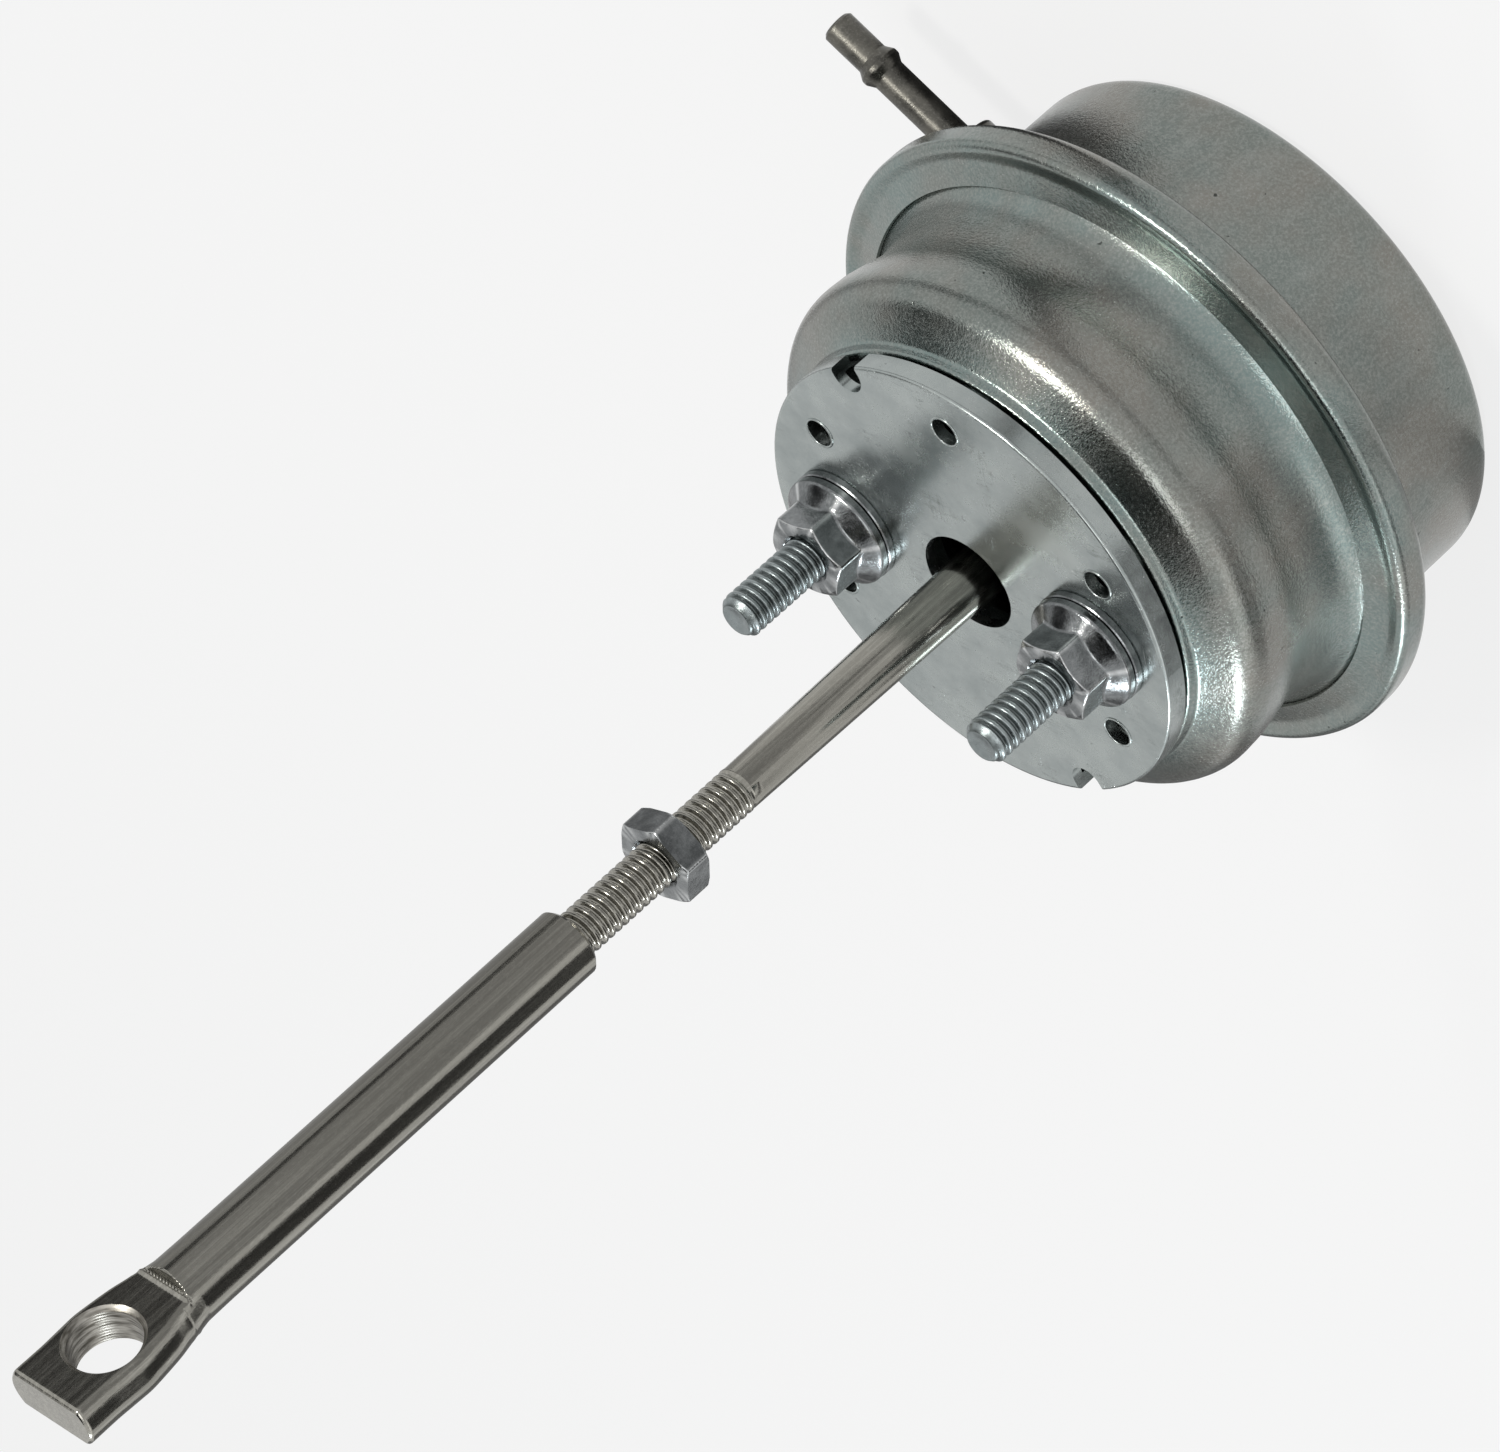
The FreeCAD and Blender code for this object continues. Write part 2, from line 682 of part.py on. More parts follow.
def eye_blank():
    """The forged flat: a waisted outline that swells round the pin hole, with rounded sides."""
    root = bar_top - eye_root_depth
    tip = eye_height + eye_tip_above_hole
    side = [
        (eye_root_width / 2, root),
        (bar_dia / 2 + eye_neck_flare, bar_top),
        (eye_width / 2 - eye_hip_inset, eye_height - eye_hip_below_hole),
        (eye_width / 2, eye_height - eye_crest_below_hole),
        (eye_width / 2 - eye_cheek_inset, eye_height + eye_cheek_above_hole),
        (eye_tip_width / 2, tip - eye_tip_bulge),
    ]
    right = Part.BSplineCurve()
    right.interpolate([point(half, height) for half, height in side])
    left = Part.BSplineCurve()
    left.interpolate([point(-half, height) for half, height in side])
    top = Part.Arc(point(side[-1][0], side[-1][1]), point(0, tip), point(-side[-1][0], side[-1][1]))
    foot = Part.makeLine(point(-side[0][0], side[0][1]), point(side[0][0], side[0][1]))
    wire = Part.Wire(Part.__sortEdges__([right.toShape(), top.toShape(), left.toShape(), foot]))
    blank = Part.Face(wire).extrude(FreeCAD.Vector(0, eye_wall, 0))
    blank.translate(FreeCAD.Vector(0, -eye_wall / 2, 0))
    flanks = []
    for edge in blank.Edges:
        box = edge.BoundBox
        if box.YLength < 1e-6 and box.ZLength > eye_tip_above_hole:
            flanks.append(edge)
    return blank.makeFillet(eye_edge_radius, flanks)


def rod_end():
    bar_r = bar_dia / 2
    bar = turned_outline([
        (0, bar_bottom, 0),
        (bar_r - bar_edge_chamfer, bar_bottom, 0),
        (bar_r, bar_bottom + bar_edge_chamfer, 0),
        (bar_r, bar_top - shoulder_chamfer, 0),
        (bar_r - shoulder_chamfer, bar_top, 0),
        (0, bar_top, 0),
    ])
    tap_r = thread_dia / 2 + running_gap
    tap_top = bar_bottom + tap_depth
    tap = turned_outline([
        (0, bar_bottom - 1, 0),
        (tap_r + 1.4, bar_bottom - 1, 0),
        (tap_r, bar_bottom + 0.4, 0),
        (tap_r, tap_top, 0),
        (0, tap_top + tap_r / math.tan(math.radians(tap_cone_angle)), 0),
    ])
    hole_r = eye_hole_dia / 2
    face = eye_wall / 2
    hole = turned_outline([
        (0, -face - 1, 0),
        (hole_r + eye_hole_chamfer + 1, -face - 1, 0),
        (hole_r, -face + eye_hole_chamfer, 0),
        (hole_r, face - eye_hole_chamfer, 0),
        (hole_r + eye_hole_chamfer + 1, face + 1, 0),
        (0, face + 1, 0),
    ])
    hole.rotate(origin, FreeCAD.Vector(1, 0, 0), 90)
    hole.translate(FreeCAD.Vector(0, 0, eye_height))
    return bar.fuse(eye_blank()).cut([tap, hole]).removeSplitter()


pieces = {
    "rear_can": rear_can,
    "front_shell": front_shell,
    "diaphragm": diaphragm,
    "mounting_plate": mounting_plate,
    "mounting_studs": mounting_studs,
    "stud_spacers": stud_spacers,
    "nut_washers": nut_washers,
    "flange_nuts": flange_nuts,
    "hose_nipple": hose_nipple,
    "nipple_collar": nipple_collar,
    "spring_seat": spring_seat,
    "return_spring": return_spring,
    "bump_stop": bump_stop,
    "piston_cup": piston_cup,
    "diaphragm_retainer": diaphragm_retainer,
    "rod_socket": rod_socket,
    "snap_ring": snap_ring,
    "actuator_rod": actuator_rod,
    "jam_nut": jam_nut,
    "rod_end": rod_end,
}

os.makedirs("parts", exist_ok=True)
for name, build in pieces.items():
    shape = build()
    solids = shape.Solids
    print(f"{name:20s} solids {len(solids)} valid {shape.isValid()} volume {shape.Volume:9.1f}")
    part = solids[0] if len(solids) == 1 else Part.Compound(solids)
    part.exportStep(f"parts/{name}.step")
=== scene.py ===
import math

import bmesh
import bpy
import numpy as np
from mathutils import Matrix, Vector


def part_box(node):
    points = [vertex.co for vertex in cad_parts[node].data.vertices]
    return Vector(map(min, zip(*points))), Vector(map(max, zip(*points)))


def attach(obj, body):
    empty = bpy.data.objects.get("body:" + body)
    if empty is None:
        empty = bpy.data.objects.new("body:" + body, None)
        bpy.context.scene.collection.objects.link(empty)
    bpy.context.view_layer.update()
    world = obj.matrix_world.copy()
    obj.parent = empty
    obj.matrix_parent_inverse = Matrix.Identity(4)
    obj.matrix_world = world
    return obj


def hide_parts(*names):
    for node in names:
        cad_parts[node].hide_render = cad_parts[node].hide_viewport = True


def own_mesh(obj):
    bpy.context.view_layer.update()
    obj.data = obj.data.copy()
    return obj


# Turbo wastegate actuator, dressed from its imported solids. Sizes are in millimetres, and mm turns them to
# metres
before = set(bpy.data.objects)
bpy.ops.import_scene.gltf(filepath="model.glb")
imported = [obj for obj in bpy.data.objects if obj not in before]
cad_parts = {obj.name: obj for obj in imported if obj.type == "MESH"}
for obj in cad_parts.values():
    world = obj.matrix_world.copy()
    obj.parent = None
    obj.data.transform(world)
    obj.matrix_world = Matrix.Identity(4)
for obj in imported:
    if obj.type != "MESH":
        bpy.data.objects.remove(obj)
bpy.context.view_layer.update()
mm = 0.001
print("frame loaded:", len(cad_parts), "nodes")


# Colour and node helpers

def hexToLinear(code):
    # sRGB hex to linear: the standard curve, a straight toe and then a power of 2.4
    parts = np.array([int(code[place:place + 2], 16) for place in (1, 3, 5)]) / 255
    linear = np.where(parts <= 0.04045, parts / 12.92, ((parts + 0.055) / 1.055) ** 2.4)
    return (*[float(value) for value in linear], 1.0)


def addNode(tree, kind, settings=None, values=None, links=None):
    # one node, with its properties, its socket values and the outputs that feed it
    node = tree.nodes.new(kind)
    for name, value in (settings or {}).items():
        setattr(node, name, value)
    for socket, value in (values or {}).items():
        node.inputs[socket].default_value = value
    for socket, source in (links or {}).items():
        tree.links.new(source, node.inputs[socket])
    return node


def newMaterial(name):
    # an empty material and its tree
    material = bpy.data.materials.new(name)
    material.use_nodes = True
    material.node_tree.nodes.clear()
    return material, material.node_tree


def perMetre(size):
    # a pattern whose repeat is this many millimetres, as a scale on coordinates in metres
    return 1 / (size * mm)


def noiseField(tree, vector, size, detail=3.0, roughness=0.55):
    # fractal noise from 0 to 1 whose largest lumps are about this many millimetres
    return addNode(tree, "ShaderNodeTexNoise",
                   values={"Scale": perMetre(size), "Detail": detail, "Roughness": roughness},
                   links={"Vector": vector}).outputs["Fac"]


def remap(tree, value, low, high, toLow=0.0, toHigh=1.0):
    # a straight ramp from one range to another, held at its ends
    return addNode(tree, "ShaderNodeMapRange", {"clamp": True},
                   {"From Min": low, "From Max": high, "To Min": toLow, "To Max": toHigh},
                   {"Value": value}).outputs["Result"]


def combine(tree, operation, first, second):
    # a Math node whose two inputs may be numbers or sockets
    node = addNode(tree, "ShaderNodeMath", {"operation": operation})
    for place, item in enumerate((first, second)):
        if isinstance(item, (int, float)):
            node.inputs[place].default_value = item
        else:
            tree.links.new(item, node.inputs[place])
    return node.outputs[0]


def tint(tree, factor, below, above):
    # mixes two colours, each a hex code or a socket, by a factor
    node = addNode(tree, "ShaderNodeMix", {"data_type": "RGBA"}, links={"Factor": factor})
    for place, item in ((6, below), (7, above)):
        if isinstance(item, str):
            node.inputs[place].default_value = hexToLinear(item)
        else:
            tree.links.new(item, node.inputs[place])
    return node.outputs[2]


def objectSpace(tree, stretch=(1, 1, 1)):
    # the piece's own coordinates in metres, squeezed per axis where a pattern is drawn out
    coordinates = addNode(tree, "ShaderNodeTexCoord").outputs["Object"]
    return addNode(tree, "ShaderNodeMapping", values={"Scale": stretch},
                   links={"Vector": coordinates}).outputs["Vector"]


def metalOutput(tree, colour, roughness, height, bump):
    # a plated or bare metal from its colour, roughness and height fields and the height's depth
    relief = addNode(tree, "ShaderNodeBump", values={"Strength": 1.0, "Distance": bump * mm},
                     links={"Height": height})
    shader = addNode(tree, "ShaderNodeBsdfPrincipled", values={"Metallic": 1.0},
                     links={"Base Color": colour, "Normal": relief.outputs["Normal"]})
    if isinstance(roughness, float):
        shader.inputs["Roughness"].default_value = roughness
    else:
        tree.links.new(roughness, shader.inputs["Roughness"])
    addNode(tree, "ShaderNodeOutputMaterial", links={"Surface": shader.outputs["BSDF"]})


def scratchField(tree, vector, size, thin):
    # hairline scratches: the thin ridges where a stretched noise crosses its middle value
    field = noiseField(tree, vector, size, 2.0, 0.6)
    distance = combine(tree, "ABSOLUTE", combine(tree, "SUBTRACT", field, 0.5), 0)
    return remap(tree, distance, 0.0, thin, 1.0, 0.0)


# Materials

def zincOnDrawnShell():
    # Electroplated zinc over deep-drawn sheet: satin grey. In the flare and round the nose's foot a
    # blue-green cast is painted into the colour, a painted reflection in those concave bands. The drawing
    # leaves a sandy grain that breaks every highlight, soft clouds and a few dark pits. The grain is a
    # little coarser than real, so that it shows.
    look = {"cool": "#767d79", "warm": "#82807a", "pale": "#a2a5a1", "reflectedTeal": "#7f918f", "dark": "#2e302e",
            "grain": 0.42, "cloud": 16.0, "wipe": 2.4, "pit": 1.5, "pitDark": 0.85, "bump": 0.055,
            "rough": (0.17, 0.28), "flareHeight": 30.5, "flareBand": 6.0,
            "footHeight": 53.5, "footBand": 2.5}
    material, tree = newMaterial("zincOnDrawnShell")
    plain = objectSpace(tree)
    height = addNode(tree, "ShaderNodeSeparateXYZ", links={"Vector": plain}).outputs["Z"]
    grain = noiseField(tree, plain, look["grain"], 2.0, 0.75)
    cloud = noiseField(tree, plain, look["cloud"], 3.0, 0.55)
    wipes = noiseField(tree, objectSpace(tree, (1.0, 1.0, 0.3)), look["wipe"], 3.0, 0.6)
    pits = remap(tree, noiseField(tree, plain, look["pit"], 2.0, 0.7), 0.735, 0.77)
    colour = tint(tree, remap(tree, cloud, 0.4, 0.6), look["cool"], look["warm"])
    # painted reflection: a blue-green band at the flare's and the foot's heights, made patchy by the clouds
    bands = []
    for spot in ("flare", "foot"):
        away = combine(tree, "ABSOLUTE", combine(tree, "SUBTRACT", height, look[spot + "Height"] * mm), 0)
        bands.append(remap(tree, away, 0.0, look[spot + "Band"] * mm, 1.0, 0.0))
    thin = remap(tree, cloud, 0.35, 0.6, 0.8, 0.3)
    paintedReflection = combine(tree, "MULTIPLY", combine(tree, "MAXIMUM", *bands), thin)
    colour = tint(tree, paintedReflection, colour, look["reflectedTeal"])
    colour = tint(tree, remap(tree, wipes, 0.5, 0.8, 0.0, 0.25), colour, look["pale"])
    colour = tint(tree, remap(tree, grain, 0.4, 0.75, 0.0, 0.6), colour, look["pale"])
    colour = tint(tree, combine(tree, "MULTIPLY", pits, look["pitDark"]), colour, look["dark"])
    rough = remap(tree, combine(tree, "ADD", cloud, combine(tree, "MULTIPLY", grain, 0.6)),
                  0.55, 1.0, *look["rough"])
    metalOutput(tree, colour, rough, combine(tree, "SUBTRACT", grain, pits), look["bump"])
    return material


def zincOnStampedPlate():
    # Electroplated zinc on a flat stamping: brighter than the shells, scuffed in every direction by
    # handling, with pale wipe marks and small grey stains.
    look = {"base": "#979e9d", "pale": "#b2b8b6", "stain": "#4d504e", "grain": 0.3, "cloud": 9.0,
            "patch": 5.0, "blot": 2.2, "markPale": 0.55, "stainDark": 0.8, "bump": 0.014,
            "rough": (0.2, 0.33)}
    # each set of scratches: its stretch, size and thinness
    scratches = (((1.0, 0.12, 1.0), 1.08, 0.012), ((0.1, 0.9, 1.0), 0.9, 0.01))
    material, tree = newMaterial("zincOnStampedPlate")
    plain = objectSpace(tree)
    grain = noiseField(tree, plain, look["grain"], 2.0, 0.7)
    cloud = noiseField(tree, plain, look["cloud"], 4.0, 0.62)
    lines = [scratchField(tree, objectSpace(tree, stretch), size, thin)
             for stretch, size, thin in scratches]
    handled = remap(tree, noiseField(tree, plain, look["patch"]), 0.55, 0.62)
    marks = combine(tree, "MULTIPLY", combine(tree, "MAXIMUM", *lines), handled)
    stains = remap(tree, noiseField(tree, plain, look["blot"], 4.0, 0.7), 0.68, 0.74)
    colour = tint(tree, remap(tree, cloud, 0.35, 0.7), look["base"], look["pale"])
    colour = tint(tree, combine(tree, "MULTIPLY", marks, look["markPale"]), colour, look["pale"])
    colour = tint(tree, combine(tree, "MULTIPLY", stains, look["stainDark"]), colour, look["stain"])
    rough = remap(tree, combine(tree, "ADD", cloud, combine(tree, "MULTIPLY", grain, 0.4)),
                  0.5, 1.0, *look["rough"])
    relief = combine(tree, "SUBTRACT", combine(tree, "MULTIPLY", grain, 0.5), marks)
    metalOutput(tree, colour, rough, relief, look["bump"])
    return material


def brightZincOnSteelNut():
    # Bright zinc on a cold-forged nut: smooth facets with a slight blue cast and faint forging dimples, and
    # paler edges where the wear attribute says that spanners and hands have rubbed them.
    look = {"base": "#676a6b", "pale": "#8f9293", "worn": "#c6c8c8", "dimple": 2.2, "grain": 0.3,
            "bump": 0.04, "rough": (0.15, 0.26)}
    material, tree = newMaterial("brightZincOnSteelNut")
    plain = objectSpace(tree)
    dimple = noiseField(tree, plain, look["dimple"], 3.0, 0.6)
    grain = noiseField(tree, plain, look["grain"], 2.0, 0.6)
    wear = addNode(tree, "ShaderNodeAttribute", {"attribute_name": "wear"}).outputs["Fac"]
    colour = tint(tree, remap(tree, dimple, 0.4, 0.7), look["base"], look["pale"])
    colour = tint(tree, remap(tree, grain, 0.45, 0.75, 0.0, 0.5), colour, look["pale"])
    paleShare = combine(tree, "MULTIPLY", wear, remap(tree, dimple, 0.3, 0.6, 0.5, 1.0))
    colour = tint(tree, paleShare, colour, look["worn"])
    rough = remap(tree, dimple, 0.35, 0.7, *look["rough"])
    relief = combine(tree, "MULTIPLY", combine(tree, "ADD", dimple, grain), 0.5)
    metalOutput(tree, colour, rough, relief, look["bump"])
    return material


def rolledStudSteel():
    # Rolled thread in plated carbon steel, with a grey-green cast. The colour follows the thread's relief:
    # dark in the roots, which is painted shade, and pale on the crests, rubbed in patches.
    look = {"root": "#646a6a", "crest": "#9aa2a3", "grain": 0.35, "rub": 1.5, "bump": 0.03,
            "rough": (0.26, 0.4)}
    material, tree = newMaterial("rolledStudSteel")
    plain = objectSpace(tree)
    crest = addNode(tree, "ShaderNodeAttribute", {"attribute_name": "crest"}).outputs["Fac"]
    grain = noiseField(tree, plain, look["grain"], 3.0, 0.65)
    rub = remap(tree, noiseField(tree, plain, look["rub"]), 0.3, 0.6, 0.55, 1.0)
    # painted shade: the crest field runs from 0 in the roots to 1 on the crests, so the colour darkens into
    # the roots
    paleShare = combine(tree, "MULTIPLY", crest, rub)
    colour = tint(tree, paleShare, look["root"], look["crest"])
    rough = remap(tree, grain, 0.35, 0.65, *look["rough"])
    metalOutput(tree, colour, rough, grain, look["bump"])
    return material


def drawnStainless():
    # Drawn stainless bar and rod: warm grey with long fine lines along the bar from the drawing die,
    # darker bands between them and a few short handling nicks.
    look = {"base": "#9f9d95", "line": "#8e8c85", "pale": "#b3b1a9", "wide": 1.32, "fine": 0.33,
            "grain": 0.3, "nick": 1.4, "bump": 0.009, "rough": (0.13, 0.22)}
    material, tree = newMaterial("drawnStainless")
    along = objectSpace(tree, (1.0, 1.0, 0.012))
    wide = noiseField(tree, along, look["wide"], 4.0, 0.65)
    fine = noiseField(tree, along, look["fine"], 3.0, 0.6)
    grain = noiseField(tree, objectSpace(tree, (1.0, 1.0, 0.4)), look["grain"], 2.0, 0.6)
    colour = tint(tree, remap(tree, wide, 0.42, 0.62), look["line"], look["base"])
    colour = tint(tree, remap(tree, fine, 0.5, 0.7, 0.0, 0.5), colour, look["pale"])
    colour = tint(tree, remap(tree, grain, 0.5, 0.75, 0.0, 0.35), colour, look["pale"])
    nicks = remap(tree, noiseField(tree, objectSpace(tree), look["nick"], 3.0, 0.8), 0.74, 0.79)
    rough = remap(tree, combine(tree, "ADD", wide, combine(tree, "MULTIPLY", grain, 0.4)),
                  0.5, 0.95, *look["rough"])
    relief = combine(tree, "ADD", fine, combine(tree, "MULTIPLY", grain, 0.6))
    relief = combine(tree, "SUBTRACT", relief, nicks)
    metalOutput(tree, colour, rough, relief, look["bump"])
    return material


def drilledHoleSteel():
    # Drilled steel: bright and a little rough, with close tool rings round the hole.
    look = {"base": "#aaa7a0", "dark": "#59564f", "ring": 0.5, "rough": 0.38, "bump": 0.02}
    material, tree = newMaterial("drilledHoleSteel")
    rings = noiseField(tree, objectSpace(tree, (0.15, 1.0, 0.15)), look["ring"], 2.0, 0.6)
    colour = tint(tree, remap(tree, rings, 0.35, 0.65), look["dark"], look["base"])
    metalOutput(tree, colour, look["rough"], rings, look["bump"])
    return material


def nippleTubeSteel():
    # Plated steel tube, darkened by the brazing of its collar: warm dark grey with a soft lengthwise sheen.
    look = {"base": "#6b6963", "dark": "#4e4d49", "pale": "#8f8d86", "blotch": 3.0, "grain": 0.3,
            "bump": 0.02, "rough": (0.26, 0.42)}
    material, tree = newMaterial("nippleTubeSteel")
    plain = objectSpace(tree)
    blotch = noiseField(tree, plain, look["blotch"], 4.0, 0.6)
    grain = noiseField(tree, plain, look["grain"], 2.0, 0.65)
    colour = tint(tree, remap(tree, blotch, 0.35, 0.65), look["dark"], look["base"])
    colour = tint(tree, remap(tree, grain, 0.5, 0.75, 0.0, 0.45), colour, look["pale"])
    rough = remap(tree, blotch, 0.35, 0.65, *look["rough"])
    metalOutput(tree, colour, rough, grain, look["bump"])
    return material


def blotchedSteel(name, look):
    # bare steel whose colour, roughness and height all follow the same blotches
    material, tree = newMaterial(name)
    blotch = noiseField(tree, objectSpace(tree), look["blotch"], look["detail"], 0.6)
    colour = tint(tree, remap(tree, blotch, *look["ramp"]), look["dark"], look["pale"])
    rough = remap(tree, blotch, 0.35, 0.65, *look["rough"])
    metalOutput(tree, colour, rough, blotch, look["bump"])
    return material


def plainPressedSteel():
    # Unplated pressed steel inside the can: dull grey with an oily variation.
    look = {"dark": "#55555a", "pale": "#77777a", "blotch": 6.0, "detail": 4.0, "ramp": (0.35, 0.65),
            "rough": (0.35, 0.5), "bump": 0.02}
    return blotchedSteel("plainPressedSteel", look)


def oiledSpringWire():
    # Oil-tempered spring wire: near black, with a soft shine and faint patches of scale.
    look = {"dark": "#2b2b2e", "pale": "#4c4c50", "blotch": 1.2, "detail": 3.0, "ramp": (0.4, 0.7),
            "rough": (0.3, 0.45), "bump": 0.02}
    return blotchedSteel("oiledSpringWire", look)


def fabricRubber():
    # Nitrile rubber moulded over a woven fabric: matt black with the weave showing faintly through.
    look = {"base": "#161616", "pale": "#262626", "weave": 12.0, "mottle": 1.0, "bump": 0.03,
            "roughness": 0.7, "index": 1.52}
    material, tree = newMaterial("fabricRubber")
    plain = objectSpace(tree)
    weave = addNode(tree, "ShaderNodeTexWave", {"wave_type": "BANDS", "bands_direction": "DIAGONAL"},
                    {"Scale": perMetre(look["weave"])}, {"Vector": plain}).outputs["Fac"]
    colour = tint(tree, noiseField(tree, plain, look["mottle"]), look["base"], look["pale"])
    bump = addNode(tree, "ShaderNodeBump", values={"Distance": look["bump"] * mm},
                   links={"Height": weave})
    shader = addNode(tree, "ShaderNodeBsdfPrincipled",
                     values={"Roughness": look["roughness"], "IOR": look["index"]},
                     links={"Base Color": colour, "Normal": bump.outputs["Normal"]})
    addNode(tree, "ShaderNodeOutputMaterial", links={"Surface": shader.outputs["BSDF"]})
    return material


finishes = {
    "shell": zincOnDrawnShell(), "plate": zincOnStampedPlate(), "nut": brightZincOnSteelNut(),
    "stud": rolledStudSteel(), "bar": drawnStainless(), "hole": drilledHoleSteel(),
    "nipple": nippleTubeSteel(), "inside": plainPressedSteel(), "spring": oiledSpringWire(),
    "rubber": fabricRubber(),
}
finishNodes = {
    "shell": ["rear_can", "front_shell"], "plate": ["mounting_plate"], "nut": ["nut_washers"],
    "nipple": ["hose_nipple", "nipple_collar"], "spring": ["return_spring", "snap_ring"],
    "inside": ["stud_spacers", "spring_seat", "piston_cup", "diaphragm_retainer", "rod_socket"],
    "rubber": ["bump_stop", "diaphragm"],
}
for finish, nodes in finishNodes.items():
    for node in nodes:
        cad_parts[node].data.materials.clear()
        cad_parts[node].data.materials.append(finishes[finish])
print("materials made:", len(finishes))


# Mesh helpers

weldDistance, shortestEdge = 1e-6, 1e-7


def boxOf(node):
    # a CAD node's lowest and highest corners, in millimetres
    return [np.array(corner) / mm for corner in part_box(node)]


def eased(share):
    # a share from 0 to 1 that leaves and arrives level
    share = np.clip(share, 0, 1)
    return share * share * (3 - 2 * share)


def between(first, last, share):
    # the value this share of the way from the first to the last
    return first + (last - first) * share


def softMin(first, second, blend):
    # the smaller of two fields, with a rounded meeting of this width
    share = np.clip(0.5 + 0.5 * (second - first) / blend, 0, 1)
    return second * (1 - share) + first * share - blend * share * (1 - share)


def softMax(first, second, blend):
    # the larger of two fields, rounded in the same way
    return -softMin(-first, -second, blend)


def aroundColumns(count):
    # bearings evenly spaced once round
    return np.linspace(0, 2 * math.pi, count, endpoint=False)


def roundGrid(radius, angle, height):
    # points from fields of radius, bearing and height about Z
    return np.stack([radius * np.cos(angle), radius * np.sin(angle), height + 0 * angle], axis=-1)


def turnedGrid(profile, columns):
    # a turned surface: each profile point (radius, height) carried once round Z
    radius, height = np.asarray(profile, float).T
    return roundGrid(radius[:, None], aroundColumns(columns), height[:, None])


def gridFaces(rows, columns):
    # quads between neighbours of a grid whose columns close round
    index = np.arange(rows * columns).reshape(rows, columns)
    right = np.roll(index, -1, axis=1)
    return np.stack([index[:-1], right[:-1], right[1:], index[1:]], axis=-1).reshape(-1, 4)


def weldMesh(mesh, shortest=None):
    # merges doubles, dissolves edges below a shortest length if one is given, and turns normals outwards
    work = bmesh.new()
    work.from_mesh(mesh)
    bmesh.ops.remove_doubles(work, verts=work.verts, dist=weldDistance)
    if shortest:
        bmesh.ops.dissolve_degenerate(work, edges=work.edges, dist=shortest)
    bmesh.ops.recalc_face_normals(work, faces=work.faces)
    work.to_mesh(mesh)
    work.free()


def shadeMesh(mesh, sharpAngle):
    # smooth shading, with edges above this angle in degrees kept sharp
    mesh.shade_smooth()
    mesh.set_sharp_from_angle(angle=math.radians(sharpAngle))


def buildMesh(name, grids, sharpAngle, attributes=None):
    # one mesh from grids of points in millimetres, with a value for each point under each attribute's name
    points, faces, offset = [], [], 0
    for grid in grids:
        rows, columns = grid.shape[:2]
        points.append(grid.reshape(-1, 3))
        faces.append(gridFaces(rows, columns) + offset)
        offset += rows * columns
    mesh = bpy.data.meshes.new(name)
    mesh.from_pydata((np.concatenate(points) * mm).tolist(), [], np.concatenate(faces).tolist())
    for key, fields in (attributes or {}).items():
        values = np.concatenate([field.reshape(-1) for field in fields]).astype(np.float32)
        mesh.attributes.new(key, "FLOAT", "POINT").data.foreach_set("value", values)
    weldMesh(mesh, shortestEdge)
    shadeMesh(mesh, sharpAngle)
    return mesh


def cutMesh(name, mesh, drillMesh, finish, drillFinish, sharpAngle):
    # the mesh with the drill's shape taken out, and the cut faces in the drill's own finish
    items = []
    for part, data, look in (("Solid", mesh, finish), ("Drill", drillMesh, drillFinish)):
        data.name = name + part
        data.materials.append(finishes[look])
        items.append(bpy.data.objects.new(data.name, data))
        bpy.context.scene.collection.objects.link(items[-1])
    cut = items[0].modifiers.new("holes", "BOOLEAN")
    cut.operation = "DIFFERENCE"
    cut.solver = "EXACT"
    cut.material_mode = "TRANSFER"
    cut.object = items[1]
    bpy.context.view_layer.update()
    cutSolid = items[0].evaluated_get(bpy.context.evaluated_depsgraph_get())
    result = bpy.data.meshes.new_from_object(cutSolid)
    result.name = name
    for item in items:
        bpy.data.objects.remove(item)
    shadeMesh(result, sharpAngle)
    return result


def placePiece(name, mesh, body, finish, slotName, *nodes):
    # a piece that rides on its body, in place of the CAD nodes it stands for
    piece = bpy.data.objects.new(name, mesh)
    bpy.context.scene.collection.objects.link(piece)
    if len(mesh.materials) == 0:
        mesh.materials.append(finishes[finish])
    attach(piece, body)
    if nodes:
        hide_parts(*nodes)
    return piece


# Rolled quarter-inch thread, right-handed: root and crest are the shares of the pitch that lie flat, and
# the runout's share is how deep the thread starts

thread = {"pitch": 1.27, "depth": 0.56, "major": 3.175, "root": 0.14, "crest": 0.24, "chamfer": 0.9,
          "chamferSlope": 0.95, "runoutShare": 0.25, "rowsPerPitch": 14}


def threadHeight(height, angle):
    # how far the helix stands at a place, 0 in the root to 1 on the crest: a trapezium of the turn's phase
    # with eased flanks
    phase = (height / thread["pitch"] - angle / (2 * math.pi)) % 1.0
    distance = np.abs(phase - 0.5) * 2
    return eased((distance - thread["root"]) / (1 - thread["root"] - thread["crest"]))


